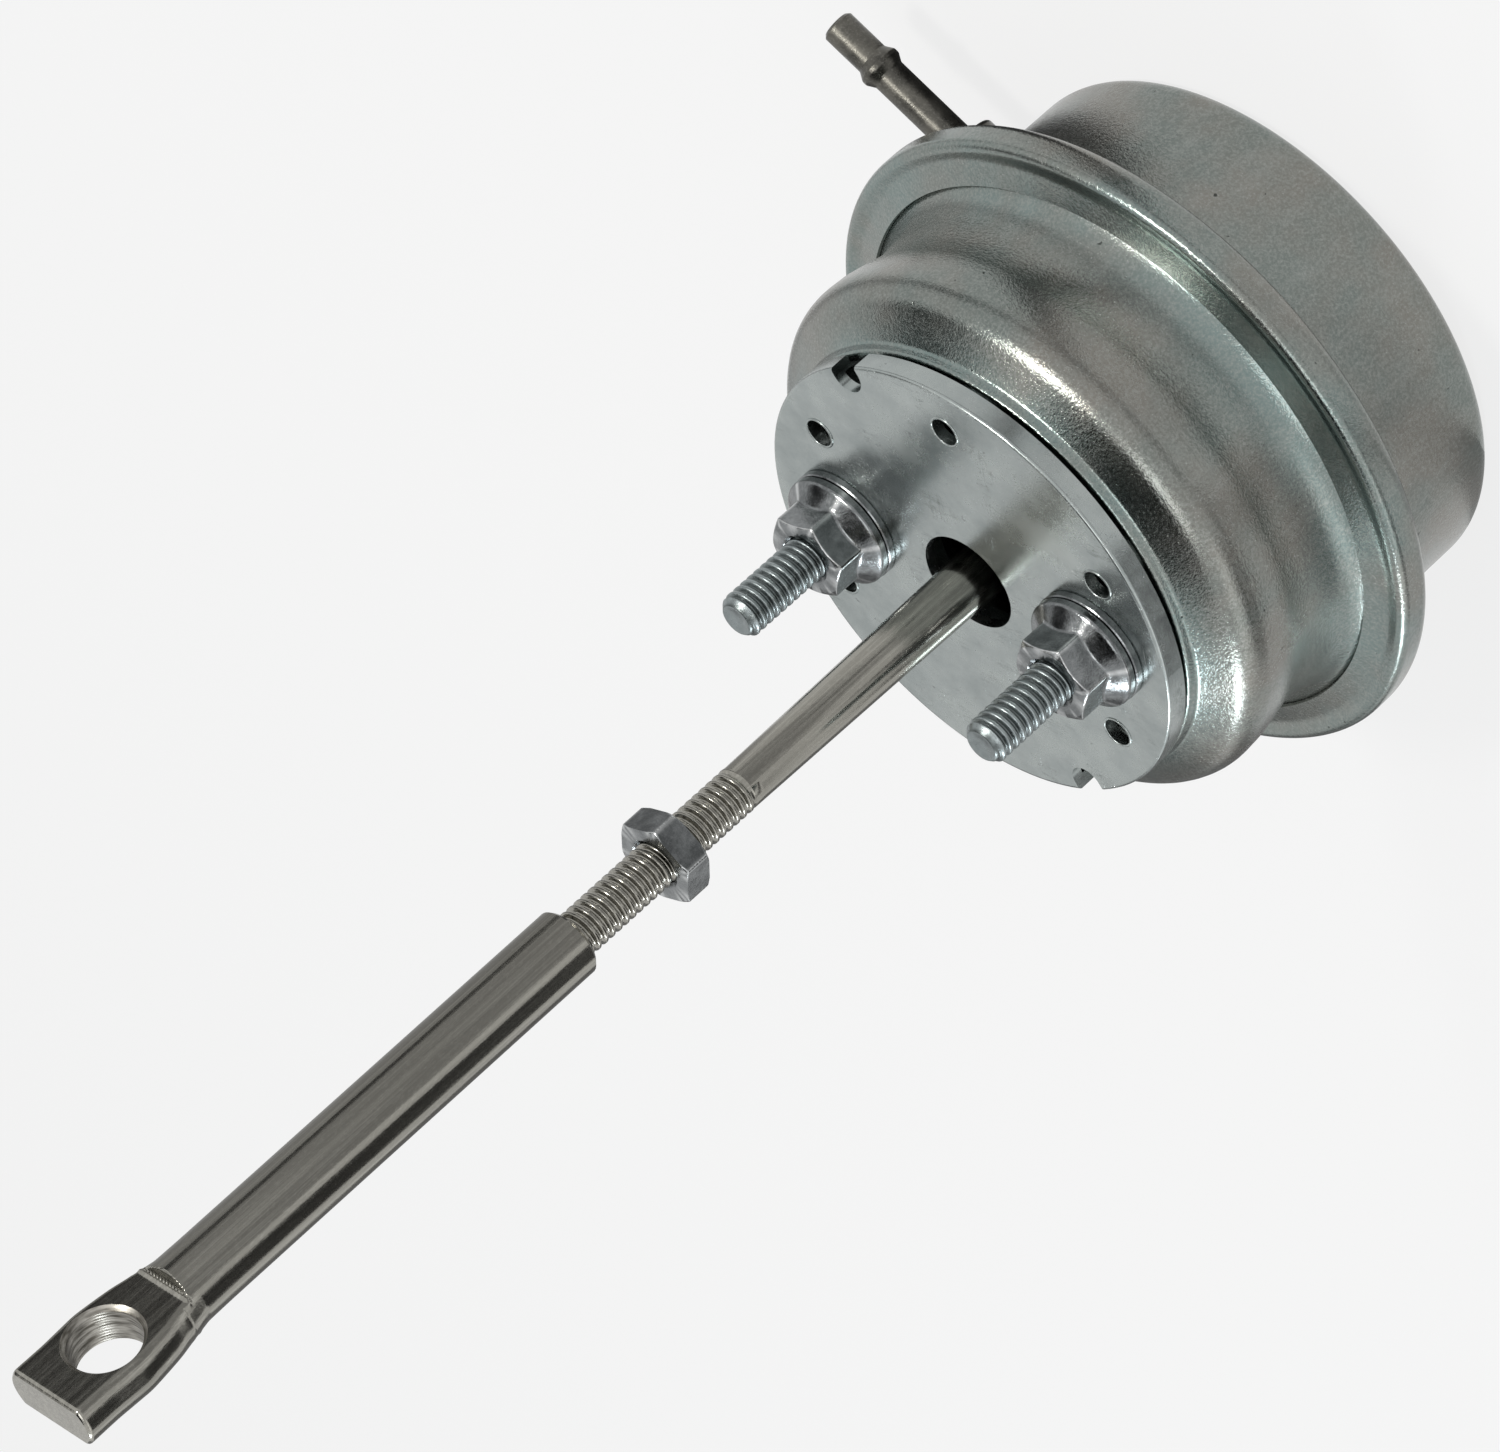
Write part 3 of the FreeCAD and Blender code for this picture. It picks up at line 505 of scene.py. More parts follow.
def threadedShank(start, top, columns, lead=0.0, runout=None):
    # the crest's radius less the depth where the helix doesn't stand, shallower over the runout, and cut
    # by a steep chamfer at the top
    angle = aroundColumns(columns)
    count = int((top - start) / thread["pitch"] * thread["rowsPerPitch"])
    height = np.linspace(start + lead, top, count)[:, None] + 0 * angle
    standing = threadHeight(height, angle)
    depth = thread["depth"]
    if runout:
        depth = depth * np.clip((height - start) / runout, thread["runoutShare"], 1)
    radius = thread["major"] - depth * (1 - standing)
    chamfer = (thread["chamfer"] - (top - height)).clip(0) * thread["chamferSlope"]
    return roundGrid(np.minimum(radius, thread["major"] - chamfer), angle, height), standing


# Studs: rolled thread over the whole shank, a thin head inside the shell and a sheared, dimpled tip. The
# tip's line is a share of its rim's radius and a depth

stud = {"headRadius": 4.1, "headHeight": 1.2, "headEdge": 0.3, "columns": 72, "sharpAngle": 50,
        "tipLine": ((0.93, 0), (0.8, 0.02), (0.6, 0.15), (0.3, 0.25), (0, 0.25)), "headWear": 0.3,
        "tipWear": 0.75}


def studGrid(bottom, top, centre):
    # head, shank and tip as one turned line, with the crest field beside it
    shankStart = bottom + stud["headHeight"]
    shank, standing = threadedShank(shankStart, top, stud["columns"])
    rim = float(np.hypot(shank[-1, :, 0], shank[-1, :, 1]).min())
    edge = stud["headRadius"] - stud["headEdge"]
    headLine = [(0, bottom), (edge, bottom), (stud["headRadius"], bottom + stud["headEdge"]),
                (stud["headRadius"], shankStart), (thread["major"], shankStart)]
    head = turnedGrid(headLine, stud["columns"])
    tip = turnedGrid([(rim * share, top - depth) for share, depth in stud["tipLine"]], stud["columns"])
    # the crest field, 0 in the roots and 1 on the crests, also sets the thread's painted shade
    crest = [np.full(head.shape[:2], stud["headWear"]), standing, np.full(tip.shape[:2], stud["tipWear"])]
    return np.concatenate([head, shank, tip]) + np.array([centre, 0, 0]), np.concatenate(crest)


studLow, studHigh = boxOf("mounting_studs")
studCentre = (studHigh[0] - studLow[0]) / 2 - stud["headRadius"]
grids, crests = zip(*[studGrid(studLow[2], studHigh[2], side * studCentre) for side in (-1, 1)])
studMesh = buildMesh("threadedStuds", grids, stud["sharpAngle"], {"crest": crests})
placePiece("threadedStuds", studMesh, "housing", "stud", "zinc_stud", "mounting_studs")
print("studs made")


# Nuts: a hexagon with forged corners, cut by chamfer cones, with a skirt on the flange nuts. Wear starts
# at a share of half the flats, and a chamfer at another

nut = {"flats": 11.11, "cornerSharpness": 70, "bore": 3.225, "sink": 0.5, "chamferAngle": 30.0,
       "columns": 216, "blend": 0.16, "skirtBlend": 0.32, "rowStep": 0.1, "sharpAngle": 38,
       "wearFrom": 1.11, "wearRamp": 0.03, "wearWidth": 0.16}
flangeNut = {"turn": 10.0, "chamferStart": 0.985, "rim": 8.2, "rimHeight": 1.3, "rimRound": 0.35,
             "coneTop": 3.1, "coneLanding": 0.2, "footBevel": 0.3}
jamNut = {"turn": 17.0, "chamferStart": 1.06}


def hexRadius(angle, turn):
    # a hexagon as a power mean of its three pairs of flats, whose corners round as the power falls
    normals = [math.radians(turn + 30 + 60 * pair) for pair in range(3)]
    total = sum(np.abs(np.cos(angle - normal)) ** nut["cornerSharpness"] for normal in normals)
    return nut["flats"] / 2 / total ** (1 / nut["cornerSharpness"])


def nutGrid(bottom, top, kind, centre):
    # the hexagon's side cut by a chamfer cone at the top, and at its foot by another or widened to the
    # skirt
    angle = aroundColumns(nut["columns"])
    height = np.linspace(bottom, top, int((top - bottom) / nut["rowStep"]))[:, None] + 0 * angle
    side = hexRadius(angle, kind["turn"])[None] + 0 * height
    slope = math.tan(math.radians(nut["chamferAngle"]))
    start = nut["flats"] / 2 * kind["chamferStart"]
    cone = start + (top - height) / slope
    radius = softMin(side, cone, nut["blend"])
    if "rim" in kind:
        drop = kind["rim"] - nut["flats"] / 2 - kind["coneLanding"]
        fall = drop / (kind["coneTop"] - kind["rimHeight"])
        skirt = kind["rim"] - (height - bottom - kind["rimHeight"]) * fall
        skirt = softMin(skirt, kind["rim"] + 0 * skirt, kind["rimRound"])
        foot = kind["rim"] - (kind["footBevel"] - (height - bottom)).clip(0)
        radius = softMax(radius, np.minimum(skirt, foot), nut["skirtBlend"])
    else:
        radius = softMin(radius, start + (height - bottom) / slope, nut["blend"])
    sink = nut["bore"] + nut["sink"]
    below = turnedGrid([(nut["bore"], bottom + nut["sink"]), (sink, bottom)], nut["columns"])
    above = turnedGrid([(sink, top), (nut["bore"], top - nut["sink"])], nut["columns"])
    grid = np.concatenate([below, roundGrid(radius, angle, height), above, below[:1]])
    # wear is highest where the chamfer cone meets a flat and along the hexagon's corners, and 0 elsewhere
    corner = np.clip((side / (nut["flats"] / 2) - nut["wearFrom"]) / nut["wearRamp"], 0, 1)
    wear = np.maximum(np.exp(-((side - cone) / nut["wearWidth"]) ** 2), corner)
    plain = np.zeros((2, nut["columns"]))
    return grid + np.array([centre, 0, 0]), np.concatenate([plain, wear, plain, plain[:1]])


nutLow, nutHigh = boxOf("flange_nuts")
grids, wears = zip(*[nutGrid(nutLow[2], nutHigh[2], flangeNut, side * studCentre) for side in (-1, 1)])
flangeMesh = buildMesh("forgedFlangeNuts", grids, nut["sharpAngle"], {"wear": wears})
placePiece("forgedFlangeNuts", flangeMesh, "housing", "nut", "zinc_fastener", "flange_nuts")
jamLow, jamHigh = boxOf("jam_nut")
jamGrid, jamWear = nutGrid(jamLow[2], jamHigh[2], jamNut, 0)
jamMesh = buildMesh("thinJamNut", [jamGrid], nut["sharpAngle"], {"wear": [jamWear]})
placePiece("thinJamNut", jamMesh, "jam_nut", "nut", "zinc_fastener", "jam_nut")
print("nuts made")


# Rod: a ball and neck inside the can, a taper through the plate and a rolled thread at the far end. The
# tip's line is a radius and a depth

rod = {"ballRadius": 5.0, "neckRadius": 3.0, "neckLength": 3.0, "neckFlare": 1.0, "baseRadius": 3.65,
       "endRadius": 3.1, "taperStart": 58.3, "threadStart": 101.9, "threadLead": 0.05, "runout": 1.6,
       "tipLine": ((1.6, 0.02), (0, 0.1)), "columns": 80, "ballRows": 24, "taperRows": 30,
       "sharpAngle": 50}


def rodGrid():
    # one turned line: a circle up to the neck's radius, the neck, its flare, the taper, thread and tip
    low, high = boxOf("actuator_rod")
    bottom, top = low[2], high[2]
    sweep = np.linspace(-math.pi / 2, math.acos(rod["neckRadius"] / rod["ballRadius"]), rod["ballRows"])
    line = [(rod["ballRadius"] * math.cos(turn), bottom + rod["ballRadius"] * (1 + math.sin(turn)))
            for turn in sweep]
    neckTop = line[-1][1] + rod["neckLength"]
    line += [(rod["neckRadius"], neckTop), (rod["baseRadius"], neckTop + rod["neckFlare"])]
    line += [(between(rod["baseRadius"], rod["endRadius"], share),
              between(rod["taperStart"], rod["threadStart"], share))
             for share in np.linspace(0, 1, rod["taperRows"])]
    threaded, _ = threadedShank(rod["threadStart"], top, rod["columns"], rod["threadLead"], rod["runout"])
    tip = turnedGrid([(radius, top - depth) for radius, depth in rod["tipLine"]], rod["columns"])
    return np.concatenate([turnedGrid(line, rod["columns"]), threaded, tip])


rodMesh = buildMesh("threadedRod", [rodGrid()], rod["sharpAngle"])
placePiece("threadedRod", rodMesh, "rod", "bar", "rod_steel", "actuator_rod")
print("rod made")


# Rod end: a tapped bar whose end is forged flat to an eye, drilled through along Y. Widths are heights
# past the shoulder and half the eye's width there, and rows are stops and how many lead up to each

rodEnd = {"barRadius": 4.7625, "barEdge": 0.5, "tapRadius": 3.225, "tapDepth": 44.0, "tapPoint": 1.9,
          "sink": 0.4, "barLength": 68.8, "halfWall": 3.05, "eyeAbove": 11.0, "stepLength": 0.8,
          "swellLength": 9.0, "sideDepth": 5.2, "edgeBlend": 0.22, "leastBlend": 0.01, "leastSine": 0.05,
          "tipBand": 0.6, "tipAcross": 0.8, "tipThrough": 1.2,
          "widths": ((-5.0, 4.7625), (-1.0, 4.85), (0.0, 5.11), (5.0, 6.35), (10.5, 7.1), (15.9, 6.8),
                     (20.4, 6.85), (20.8, 6.8)),
          "columns": 240, "firstRow": 2.0, "shoulderRows": ((-6.0, 60), (-1.0, 20), (2.2, 48)),
          "tipRows": ((-0.6, 90), (0.0, 8)), "capRows": 8, "smoothing": 9, "sharpAngle": 35}
# The die's ridge: its height, place past the shoulder and width, the depth where it starts and fades in,
# and its teeth's spacing and share of the height
ridge = {"height": 0.22, "place": 0.95, "width": 0.32, "depth": 2.2, "fade": 0.6, "spacing": 0.55,
         "share": 0.25}
eyeHole = {"radius": 4.7625, "chamfer": 0.6, "overshoot": 1.0, "ringHeight": 0.008, "ringPitch": 0.45,
           "wallRows": 56, "columns": 160}


def rowHeights(start, stops):
    # heights from a start through (end, count) stretches
    rows = []
    for end, count in stops:
        rows.append(np.linspace(start, end, count, endpoint=False))
        start = end
    return np.concatenate(rows + [[start]])


def smoothedWidths(past):
    # half the width at each row, its bends evened over the neighbouring rows
    places, widths = np.array(rodEnd["widths"]).T
    kernel = np.ones(rodEnd["smoothing"]) / rodEnd["smoothing"]
    padded = np.pad(np.interp(past, places, widths), rodEnd["smoothing"] // 2, mode="edge")
    return np.convolve(padded, kernel, mode="valid")


def rodEndMesh(bottom, top):
    # the bar's tapped inside, then its outside: an ellipse that swells to the eye and is cut by two flats
    # that close in over the step, rounded off at the tip
    bar = rodEnd["barRadius"]
    shoulder = bottom + rodEnd["barLength"]
    tapTop = bottom + rodEnd["tapDepth"]
    tapLine = [(0, tapTop + rodEnd["tapPoint"]), (rodEnd["tapRadius"], tapTop),
               (rodEnd["tapRadius"], bottom + rodEnd["sink"]),
               (rodEnd["tapRadius"] + rodEnd["sink"], bottom),
               (bar - rodEnd["barEdge"], bottom), (bar, bottom + rodEnd["barEdge"])]
    inside = turnedGrid(tapLine, rodEnd["columns"])
    stops = [(shoulder + past, count) for past, count in rodEnd["shoulderRows"]]
    stops += [(top + past, count) for past, count in rodEnd["tipRows"]]
    height = rowHeights(bottom + rodEnd["firstRow"], stops)[:, None]
    past = height - shoulder
    step = eased(past / rodEnd["stepLength"])
    tipRound = (rodEnd["tipBand"] - (top - height)).clip(0) ** 2
    halfWidth = smoothedWidths(past[:, 0])[:, None] - tipRound * rodEnd["tipAcross"]
    halfWall = between(bar, rodEnd["halfWall"], step) - tipRound * rodEnd["tipThrough"]
    halfDepth = between(bar, rodEnd["sideDepth"], eased(past / rodEnd["swellLength"]))
    halfDepth = halfDepth - tipRound * rodEnd["tipThrough"]
    angle = aroundColumns(rodEnd["columns"])
    cosine, sine = np.abs(np.cos(angle)), np.abs(np.sin(angle))
    rounded = ((cosine / halfWidth) ** 2 + (sine / halfDepth) ** 2) ** -0.5
    flat = halfWall / np.maximum(sine, rodEnd["leastSine"])
    radius = softMin(rounded, flat, rodEnd["edgeBlend"] * np.maximum(step, rodEnd["leastBlend"]))
    side = roundGrid(radius, angle, height)
    # the die leaves a raised, notched ridge at the foot of the step, on both faces
    face = np.clip((np.abs(side[..., 1]) - ridge["depth"]) / ridge["fade"], 0, 1)
    bump = np.exp(-((past - ridge["place"]) / ridge["width"]) ** 2) * face
    teeth = 1 - ridge["share"] + ridge["share"] * np.sin(side[..., 0] * 2 * math.pi / ridge["spacing"])
    side[..., 1] += np.sign(side[..., 1]) * bump * teeth * ridge["height"]
    shrink = np.linspace(1, 0, rodEnd["capRows"])[1:, None, None]
    cap = side[-1][None] * np.array([1, 1, 0]) * shrink + np.array([0, 0, top])
    return buildMesh("rodEnd", [np.concatenate([inside, side, cap])], rodEnd["sharpAngle"])


def eyeDrill(height):
    # a drill with its two countersinks, and shallow tool rings along its wall
    face = rodEnd["halfWall"]
    wall = np.linspace(eyeHole["chamfer"] - face, face - eyeHole["chamfer"], eyeHole["wallRows"])
    ringed = eyeHole["radius"] + eyeHole["ringHeight"] * np.sin(wall * 2 * math.pi / eyeHole["ringPitch"])
    end = face + eyeHole["overshoot"]
    far = eyeHole["radius"] + eyeHole["chamfer"] + eyeHole["overshoot"]
    profile = [(0, -end), (far, -end), *zip(ringed, wall), (far, end), (0, end)]
    grid = turnedGrid(profile, eyeHole["columns"])
    laid = np.stack([grid[..., 0], -grid[..., 2], grid[..., 1] + height], axis=-1)
    return buildMesh("eyeDrill", [laid], rodEnd["sharpAngle"])


endLow, endHigh = boxOf("rod_end")
eyeCentre = endLow[2] + rodEnd["barLength"] + rodEnd["eyeAbove"]
endMesh = cutMesh("forgedRodEnd", rodEndMesh(endLow[2], endHigh[2]), eyeDrill(eyeCentre), "bar", "hole",
                  rodEnd["sharpAngle"])
placePiece("forgedRodEnd", endMesh, "rod_end", "bar", "rod_steel", "rod_end")
print("rod end made")


# Pressed shells: sheet turned round Z, its outline a run of straights joined by rounded corners. Each
# corner is a radius, a height and a rounding, and a drill's reach is how far out or up it runs

canSheet = {"wall": 1.4, "lipWall": 0.5, "port": 2.43, "portHeight": 12.3, "portBearing": 148.0,
            "portReach": (30, 48),
            "outline": [(0, 0, 0), (38.9, 0, 3.0), (38.9, 23.2, 1.6), (47.49, 23.2, 2.5),
                        (47.49, 29.4, 1.3), (44.6, 28.6, 2.0), (41.40, 29.68, 0)]}
noseSheet = {"wall": -1.4, "studHole": 3.3, "studReach": (50.8, 55.8),
             "outline": [(8.75, 53.8, 0), (31.2, 53.8, 0.8), (31.8, 54.35, 0.5), (33.1, 54.35, 0.7),
                         (33.5, 53.0, 1.0), (40.1, 49.2, 5.0), (39.7, 42.5, 14.0), (38.25, 37.3, 14.0),
                         (40.1, 27.2, 7.3), (46.2, 27.2, 0)]}
sheet = {"columns": 288, "drillColumns": 64, "straightStep": 2.0, "arcStep": 7.0, "leastRounding": 0.05,
         "sharpAngle": 40}
# The drawing's waves: their depth, how many go round and at what phase, and the band they lie in
wave = {"depth": 0.07, "rounds": ((7, 1.3), (11, 0.4), (17, 2.1)), "height": 48.5, "reach": 7.5,
        "innerRadius": 33.0, "fade": 3.0}


def headings(corners):
    # the corners' points and the unit vector from each to the next
    path = np.array([corner[:2] for corner in corners], float)
    steps = np.diff(path, axis=0)
    return path, steps / np.linalg.norm(steps, axis=1)[:, None]


def straightRun(start, end):
    # points on a straight, no further apart than the step
    count = int(np.linalg.norm(end - start) / sheet["straightStep"]) + 2
    return np.linspace(start, end, count)


def roundedLine(corners):
    # straights between corners, each corner an arc tangent to both, of its own radius
    path, heading = headings(corners)
    pieces, last = [path[:1]], path[0]
    for place in range(1, len(corners) - 1):
        into, out = heading[place - 1], heading[place]
        rounding = corners[place][2]
        turn = math.atan2(into[0] * out[1] - into[1] * out[0], into @ out)
        start = path[place] - into * rounding * math.tan(abs(turn) / 2)
        side = np.array([-into[1], into[0]]) * math.copysign(1, turn)
        count = max(2, int(abs(math.degrees(turn)) / sheet["arcStep"]) + 1)
        sweep = np.linspace(0, abs(turn), count)[:, None]
        arc = start + side * rounding + rounding * (into * np.sin(sweep) - side * np.cos(sweep))
        pieces += [straightRun(last, start)[1:-1], arc]
        last = arc[-1]
    return np.concatenate(pieces + [straightRun(last, path[-1])[1:]])


def movedCorners(corners, walls):
    # the corners moved to the left by the wall at each, along the line that halves the corner
    path, heading = headings(corners)
    left = np.stack([-heading[:, 1], heading[:, 0]], axis=1)
    before, after = np.vstack([left[:1], left]), np.vstack([left, left[-1:]])
    share = 1 + (before * after).sum(axis=1)
    moved = path + np.array(walls)[:, None] * (before + after) / share[:, None]
    turn = before[:, 0] * after[:, 1] - before[:, 1] * after[:, 0]
    rounding = [max(corner[2] - math.copysign(1, side) * wall, sheet["leastRounding"]) if corner[2] else 0
                for corner, side, wall in zip(corners, turn, walls)]
    return [(*point, radius) for point, radius in zip(moved, rounding)]


def sheetGrid(corners, walls, closed):
    # the outer line, then the inner line back, turned round Z and pressed in by the mean of its waves,
    # which fade out above and below their height and inside their radius
    inner = roundedLine(movedCorners(corners, walls))[::-1]
    profile = np.concatenate([roundedLine(corners), inner])
    if closed:
        profile = np.concatenate([profile, profile[:1]])
    grid = turnedGrid(profile, sheet["columns"])
    angle = aroundColumns(sheet["columns"])
    height = sum(np.cos(count * angle + phase) for count, phase in wave["rounds"]) / len(wave["rounds"])
    band = np.exp(-((profile[:, 1] - wave["height"]) / wave["reach"]) ** 2)
    band = band * np.clip((profile[:, 0] - wave["innerRadius"]) / wave["fade"], 0, 1)
    inward = wave["depth"] * band[:, None] * (1 + height) / 2 / np.maximum(profile[:, :1], 1)
    grid[..., :2] *= (1 - inward)[..., None]
    return grid


def drillGrid(low, high, radius):
    # a round drill standing on Z between two heights
    return turnedGrid([(0, low), (radius, low), (radius, high), (0, high)], sheet["drillColumns"])


def placeShell(name, shape, walls, closed, drills, node):
    # the pressed sheet with its holes cut through, as one piece of the housing
    mesh = buildMesh(name, [sheetGrid(shape["outline"], walls, closed)], sheet["sharpAngle"])
    drillMesh = buildMesh(name + "Drills", drills, sheet["sharpAngle"])
    mesh = cutMesh(name, mesh, drillMesh, "shell", "shell", sheet["sharpAngle"])
    placePiece(name, mesh, "housing", "shell", "zinc_shell", node)


def makeShells():
    # the can's port is a drill laid along its bearing, and the nose's two holes stand on the studs
    port = drillGrid(*canSheet["portReach"], canSheet["port"])
    bearing = math.radians(canSheet["portBearing"])
    across, upward, outward = port[..., 0], port[..., 1], port[..., 2]
    port = np.stack([outward * math.cos(bearing) - across * math.sin(bearing),
                     outward * math.sin(bearing) + across * math.cos(bearing),
                     upward + canSheet["portHeight"]], axis=-1)
    canWalls = [canSheet["wall"]] * (len(canSheet["outline"]) - 1) + [canSheet["lipWall"]]
    placeShell("rolledCan", canSheet, canWalls, False, [port], "rear_can")
    noseWalls = [noseSheet["wall"]] * len(noseSheet["outline"])
    studDrill = drillGrid(*noseSheet["studReach"], noseSheet["studHole"])
    drills = [studDrill + np.array([side * studCentre, 0, 0]) for side in (-1, 1)]
    placeShell("drawnNose", noseSheet, noseWalls, True, drills, "front_shell")


makeShells()
print("shells made")


# Vents: each of the plate's six punched holes has a raised burr round it

vent = {"count": 6, "firstBearing": 26.1, "ring": 27.0, "burrRadius": 2.162, "burrHalf": 0.18,
        "burrHeight": 0.16, "columns": 48, "sectionRows": 21, "sharpAngle": 60}


def makeVents():
    # a half-sunk ring round each hole: an ellipse carried round the hole's axis
    face = boxOf("mounting_plate")[1][2]
    sweep = np.linspace(0, 2 * math.pi, vent["sectionRows"])
    section = np.stack([vent["burrRadius"] + vent["burrHalf"] * np.cos(sweep),
                        face + vent["burrHeight"] * np.sin(sweep)], axis=1)
    burr = turnedGrid(section, vent["columns"])
    bearings = np.radians(vent["firstBearing"]) + aroundColumns(vent["count"])
    grids = [burr + vent["ring"] * np.array([math.cos(bearing), math.sin(bearing), 0])
             for bearing in bearings]
    burrMesh = buildMesh("ventBurrs", grids, vent["sharpAngle"])
    placePiece("ventBurrs", burrMesh, "housing", "plate", "zinc_plate")


makeVents()
print("vents made")


# Return spring: the imported coil again, as a piece of the housing


def makeSpring():
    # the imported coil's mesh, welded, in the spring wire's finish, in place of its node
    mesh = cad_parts["return_spring"].data.copy()
    mesh.name = "coiledSpring"
    weldMesh(mesh)
    mesh.materials.clear()
    piece = placePiece("coiledSpring", mesh, "housing", "spring", "spring_steel", "return_spring")
    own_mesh(piece)


makeSpring()
print("spring made")


# Studio: a pale floor under the standing part, soft boxes above it, and the camera of the photograph

studio = {"floor": "#f6f6f6", "fibreColour": "#ffffff", "fibre": 3.0, "fibreShare": 0.08,
          "floorSize": 2600.0, "floorLift": 0.85, "sky": "#f2f2f2", "fillStrength": 0.6, "aimHeight": 60.0,
          "cardHeight": 0.5}


def seenDirectly(tree):
    # 1 for the rays that see the background as it is: camera, glossy and transmission rays
    path = addNode(tree, "ShaderNodeLightPath")
    seen = combine(tree, "MAXIMUM", path.outputs["Is Camera Ray"], path.outputs["Is Glossy Ray"])
    return combine(tree, "MAXIMUM", seen, path.outputs["Is Transmission Ray"])


def quad(name, corners, material):
    # a flat stage piece through four corners in millimetres
    mesh = bpy.data.meshes.new(name)
    mesh.from_pydata((np.array(corners) * mm).tolist(), [], [(0, 1, 2, 3)])
    mesh.materials.append(material)
    piece = bpy.data.objects.new(name, mesh)
    bpy.context.scene.collection.objects.link(piece)
    return piece


def makeFloor():
    # matt studio paper with a faint fibre; seen directly, most of it shows as its written colour, and the
    # rest takes the light and the part's shadow
    material, tree = newMaterial("paleStudioPaper")
    fibre = noiseField(tree, objectSpace(tree), studio["fibre"], 2.0)
    fibre = remap(tree, fibre, 0.3, 0.7, 0.0, studio["fibreShare"])
    colour = tint(tree, fibre, studio["floor"], studio["fibreColour"])
    paper = addNode(tree, "ShaderNodeBsdfDiffuse", links={"Color": colour})
    plain = addNode(tree, "ShaderNodeEmission",
                    values={"Color": hexToLinear(studio["floor"]), "Strength": 1.0})
    lift = combine(tree, "MULTIPLY", seenDirectly(tree), studio["floorLift"])
    mixed = addNode(tree, "ShaderNodeMixShader",
                    links={0: lift, 1: paper.outputs["BSDF"], 2: plain.outputs["Emission"]})
    addNode(tree, "ShaderNodeOutputMaterial", links={"Surface": mixed.outputs["Shader"]})
    half = studio["floorSize"] / 2
    quad("floor", [(-half, -half, 0), (half, -half, 0), (half, half, 0), (-half, half, 0)], material)


def makeWorld():
    # an even pale surround: seen as it is by the camera and in reflections, softer as a light
    world = bpy.data.worlds.new("studioSurround")
    world.use_nodes = True
    tree = world.node_tree
    tree.nodes.clear()
    strength = remap(tree, seenDirectly(tree), 0.0, 1.0, studio["fillStrength"], 1.0)
    background = addNode(tree, "ShaderNodeBackground", values={"Color": hexToLinear(studio["sky"])},
                         links={"Strength": strength})
    addNode(tree, "ShaderNodeOutputWorld", links={"Surface": background.outputs["Background"]})
    bpy.context.scene.world = world


# Soft boxes, and flags and glowing panels that only reflections show, each at a bearing and height in
# degrees, seen from the can, and a distance
lamps = {
    "keyBox": {"bearing": 105, "height": 57, "distance": 900, "size": (160, 160), "power": 3.2,
               "colour": "#fffdf8"},
    "sideBox": {"bearing": -70, "height": 29, "distance": 900, "size": (150, 150), "power": 2.1,
                "colour": "#f2faff"},
}
flags = {
    "zenithFlag": {"bearing": -40, "height": 81, "distance": 1200, "size": (900, 860), "tone": "black"},
    "leftFlag": {"bearing": 168, "height": 44, "distance": 1200, "size": (560, 480), "tone": "dark"},
    "rightFlag": {"bearing": -115, "height": 6, "distance": 1180, "size": (760, 520), "tone": "mid"},
    # these two panels glow by themselves, as lights that only reflections show
    "frontGlowPanel": {"bearing": -32, "height": 20, "distance": 1400, "size": (2000, 420), "tone": "glow"},
    "smallGlowPanel": {"bearing": 20, "height": 54, "distance": 1100, "size": (420, 330), "tone": "spark"},
}
# Each tone's colour and how strongly it shines
flagTone = {"black": ("#080808", 1.0), "dark": ("#4a4a4a", 1.0), "mid": ("#808080", 1.0),
            "grey": ("#b0b0b0", 1.0), "pale": ("#e0e0e0", 1.0), "glow": ("#ffffff", 1.5),
            "spark": ("#ffffff", 3.4)}
# Cards on the floor round the part: from one bearing to another, from one distance to another, and a tone
floorCards = {
    "innerCardRight": (-46, 22, 135, 180, "dark"), "innerCardFront": (22, 225, 125, 180, "grey"),
    "ringCardRight": (-76, 74, 180, 250, "pale"), "ringCardLeft": (74, 225, 180, 250, "dark"),
    "outerCardRight": (-46, 3, 250, 1200, "dark"), "outerCardFront": (22, 126, 250, 1200, "grey"),
    "outerCardLeft": (126, 142, 250, 1200, "dark"), "outerCardBack": (142, 222, 250, 1200, "grey"),
    "sideCardRight": (-138, -77, 75, 1200, "mid"),
}


def aimedAt(spot):
    # a matrix at a bearing, height and distance from the can, looking back at it
    bearing, height = math.radians(spot["bearing"]), math.radians(spot["height"])
    flat = math.cos(height)
    away = Vector((flat * math.cos(bearing), flat * math.sin(bearing), math.sin(height)))
    place = Vector((0, 0, studio["aimHeight"] * mm)) + away * spot["distance"] * mm
    return Matrix.Translation(place) @ away.to_track_quat("Z", "Y").to_matrix().to_4x4()


def makeLamps():
    # square soft boxes that look back at the can
    for name, lamp in lamps.items():
        light = bpy.data.lights.new(name, "AREA")
        light.shape = "RECTANGLE"
        light.size, light.size_y = [side * mm for side in lamp["size"]]
        light.energy = lamp["power"]
        light.color = hexToLinear(lamp["colour"])[:3]
        holder = bpy.data.objects.new(name, light)
        bpy.context.scene.collection.objects.link(holder)
        holder.matrix_world = aimedAt(lamp)


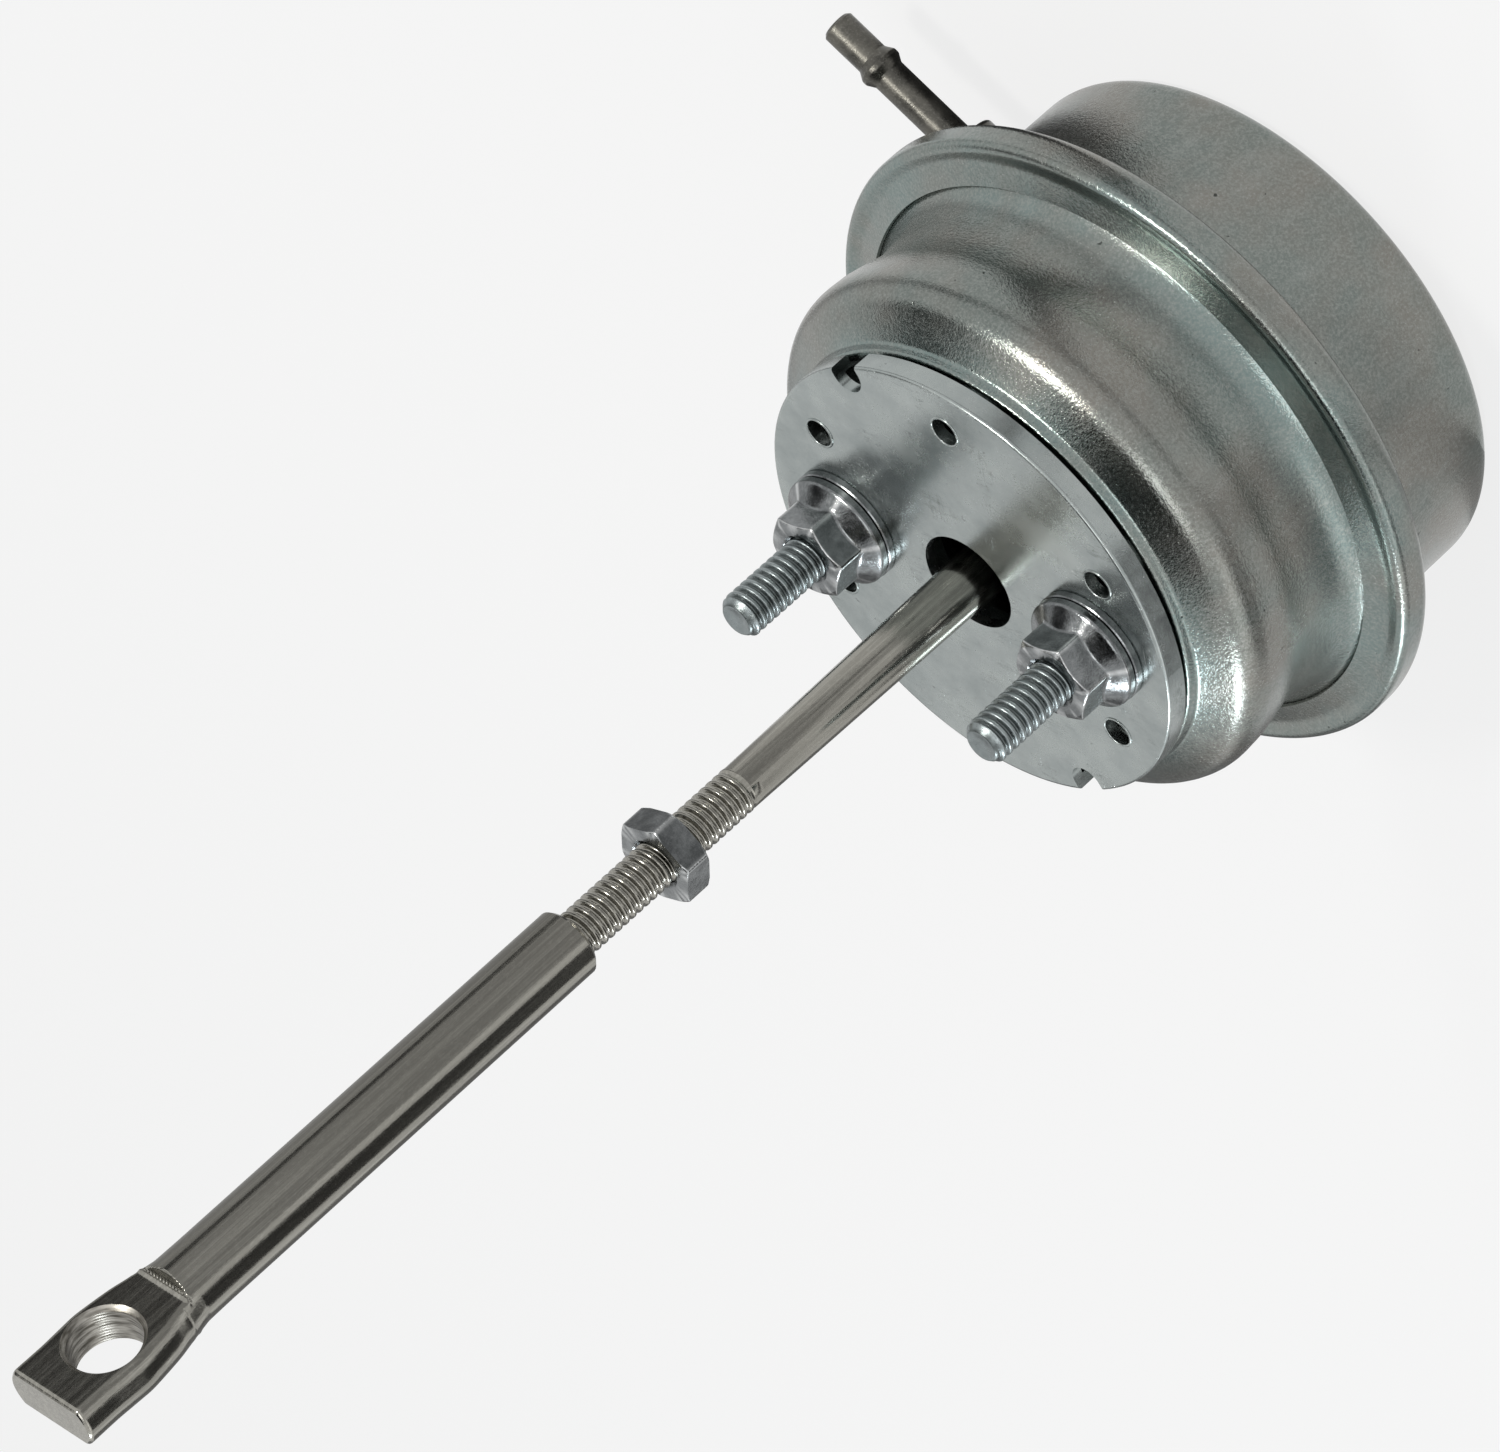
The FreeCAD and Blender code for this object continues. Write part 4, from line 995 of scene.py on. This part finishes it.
def flagPanel(tone):
    # a panel of one even tone as reflections show it: cloth and card in the dark tones, and in the glow and
    # spark tones a panel that shines by itself
    material, tree = newMaterial("flagPanel" + tone.capitalize())
    colour, strength = flagTone[tone]
    shader = addNode(tree, "ShaderNodeEmission",
                     values={"Color": hexToLinear(colour), "Strength": strength})
    addNode(tree, "ShaderNodeOutputMaterial", links={"Surface": shader.outputs["Emission"]})
    return material


def makeFlags():
    # flags as upright quads and cards as sectors of the floor, all seen only by reflections
    tonePanels = {tone: flagPanel(tone) for tone in flagTone}
    pieces = []
    for name, flag in flags.items():
        across, tall = [side / 2 for side in flag["size"]]
        frameOf = np.array(aimedAt(flag))
        flat = np.array([(-across, -tall), (across, -tall), (across, tall), (-across, tall)])
        corners = flat @ frameOf[:3, :2].T + frameOf[:3, 3] / mm
        pieces.append(quad(name, corners, tonePanels[flag["tone"]]))
    for name, (first, last, near, far, tone) in floorCards.items():
        first, last = math.radians(first), math.radians(last)
        spots = ((far, first), (far, last), (near, last), (near, first))
        corners = [(out * math.cos(side), out * math.sin(side), studio["cardHeight"])
                   for out, side in spots]
        pieces.append(quad(name, corners, tonePanels[tone]))
    for piece in pieces:
        for ray in ("camera", "diffuse", "shadow", "transmission"):
            setattr(piece, "visible_" + ray, False)


# The camera's place, the point on its axis beside the can, its roll and lens, all fitted to the photograph,
# and its sensor's width and its nearest and farthest distance in metres
view = {"place": (509.35, 608.84, 483.73), "aim": (-13.10, -7.88, 87.87), "roll": 131.87, "lens": 169.57,
        "sensor": 36.0, "clip": (0.05, 20.0)}


def makeCamera():
    # a camera at its place that looks at its aim, turned back by its roll
    data = bpy.data.cameras.new("photoCamera")
    data.lens = view["lens"]
    data.sensor_width = view["sensor"]
    data.sensor_fit = "HORIZONTAL"
    data.clip_start, data.clip_end = view["clip"]
    camera = bpy.data.objects.new("photoCamera", data)
    bpy.context.scene.collection.objects.link(camera)
    place, aim = [Vector(view[key]) * mm for key in ("place", "aim")]
    look = (aim - place).to_track_quat("-Z", "Y").to_matrix().to_4x4()
    roll = Matrix.Rotation(-math.radians(view["roll"]), 4, "Z")
    camera.matrix_world = Matrix.Translation(place) @ look @ roll
    bpy.context.scene.camera = camera


makeFloor()
makeWorld()
makeLamps()
makeFlags()
makeCamera()
bpy.context.scene.view_settings.view_transform = "Standard"
print("studio made")
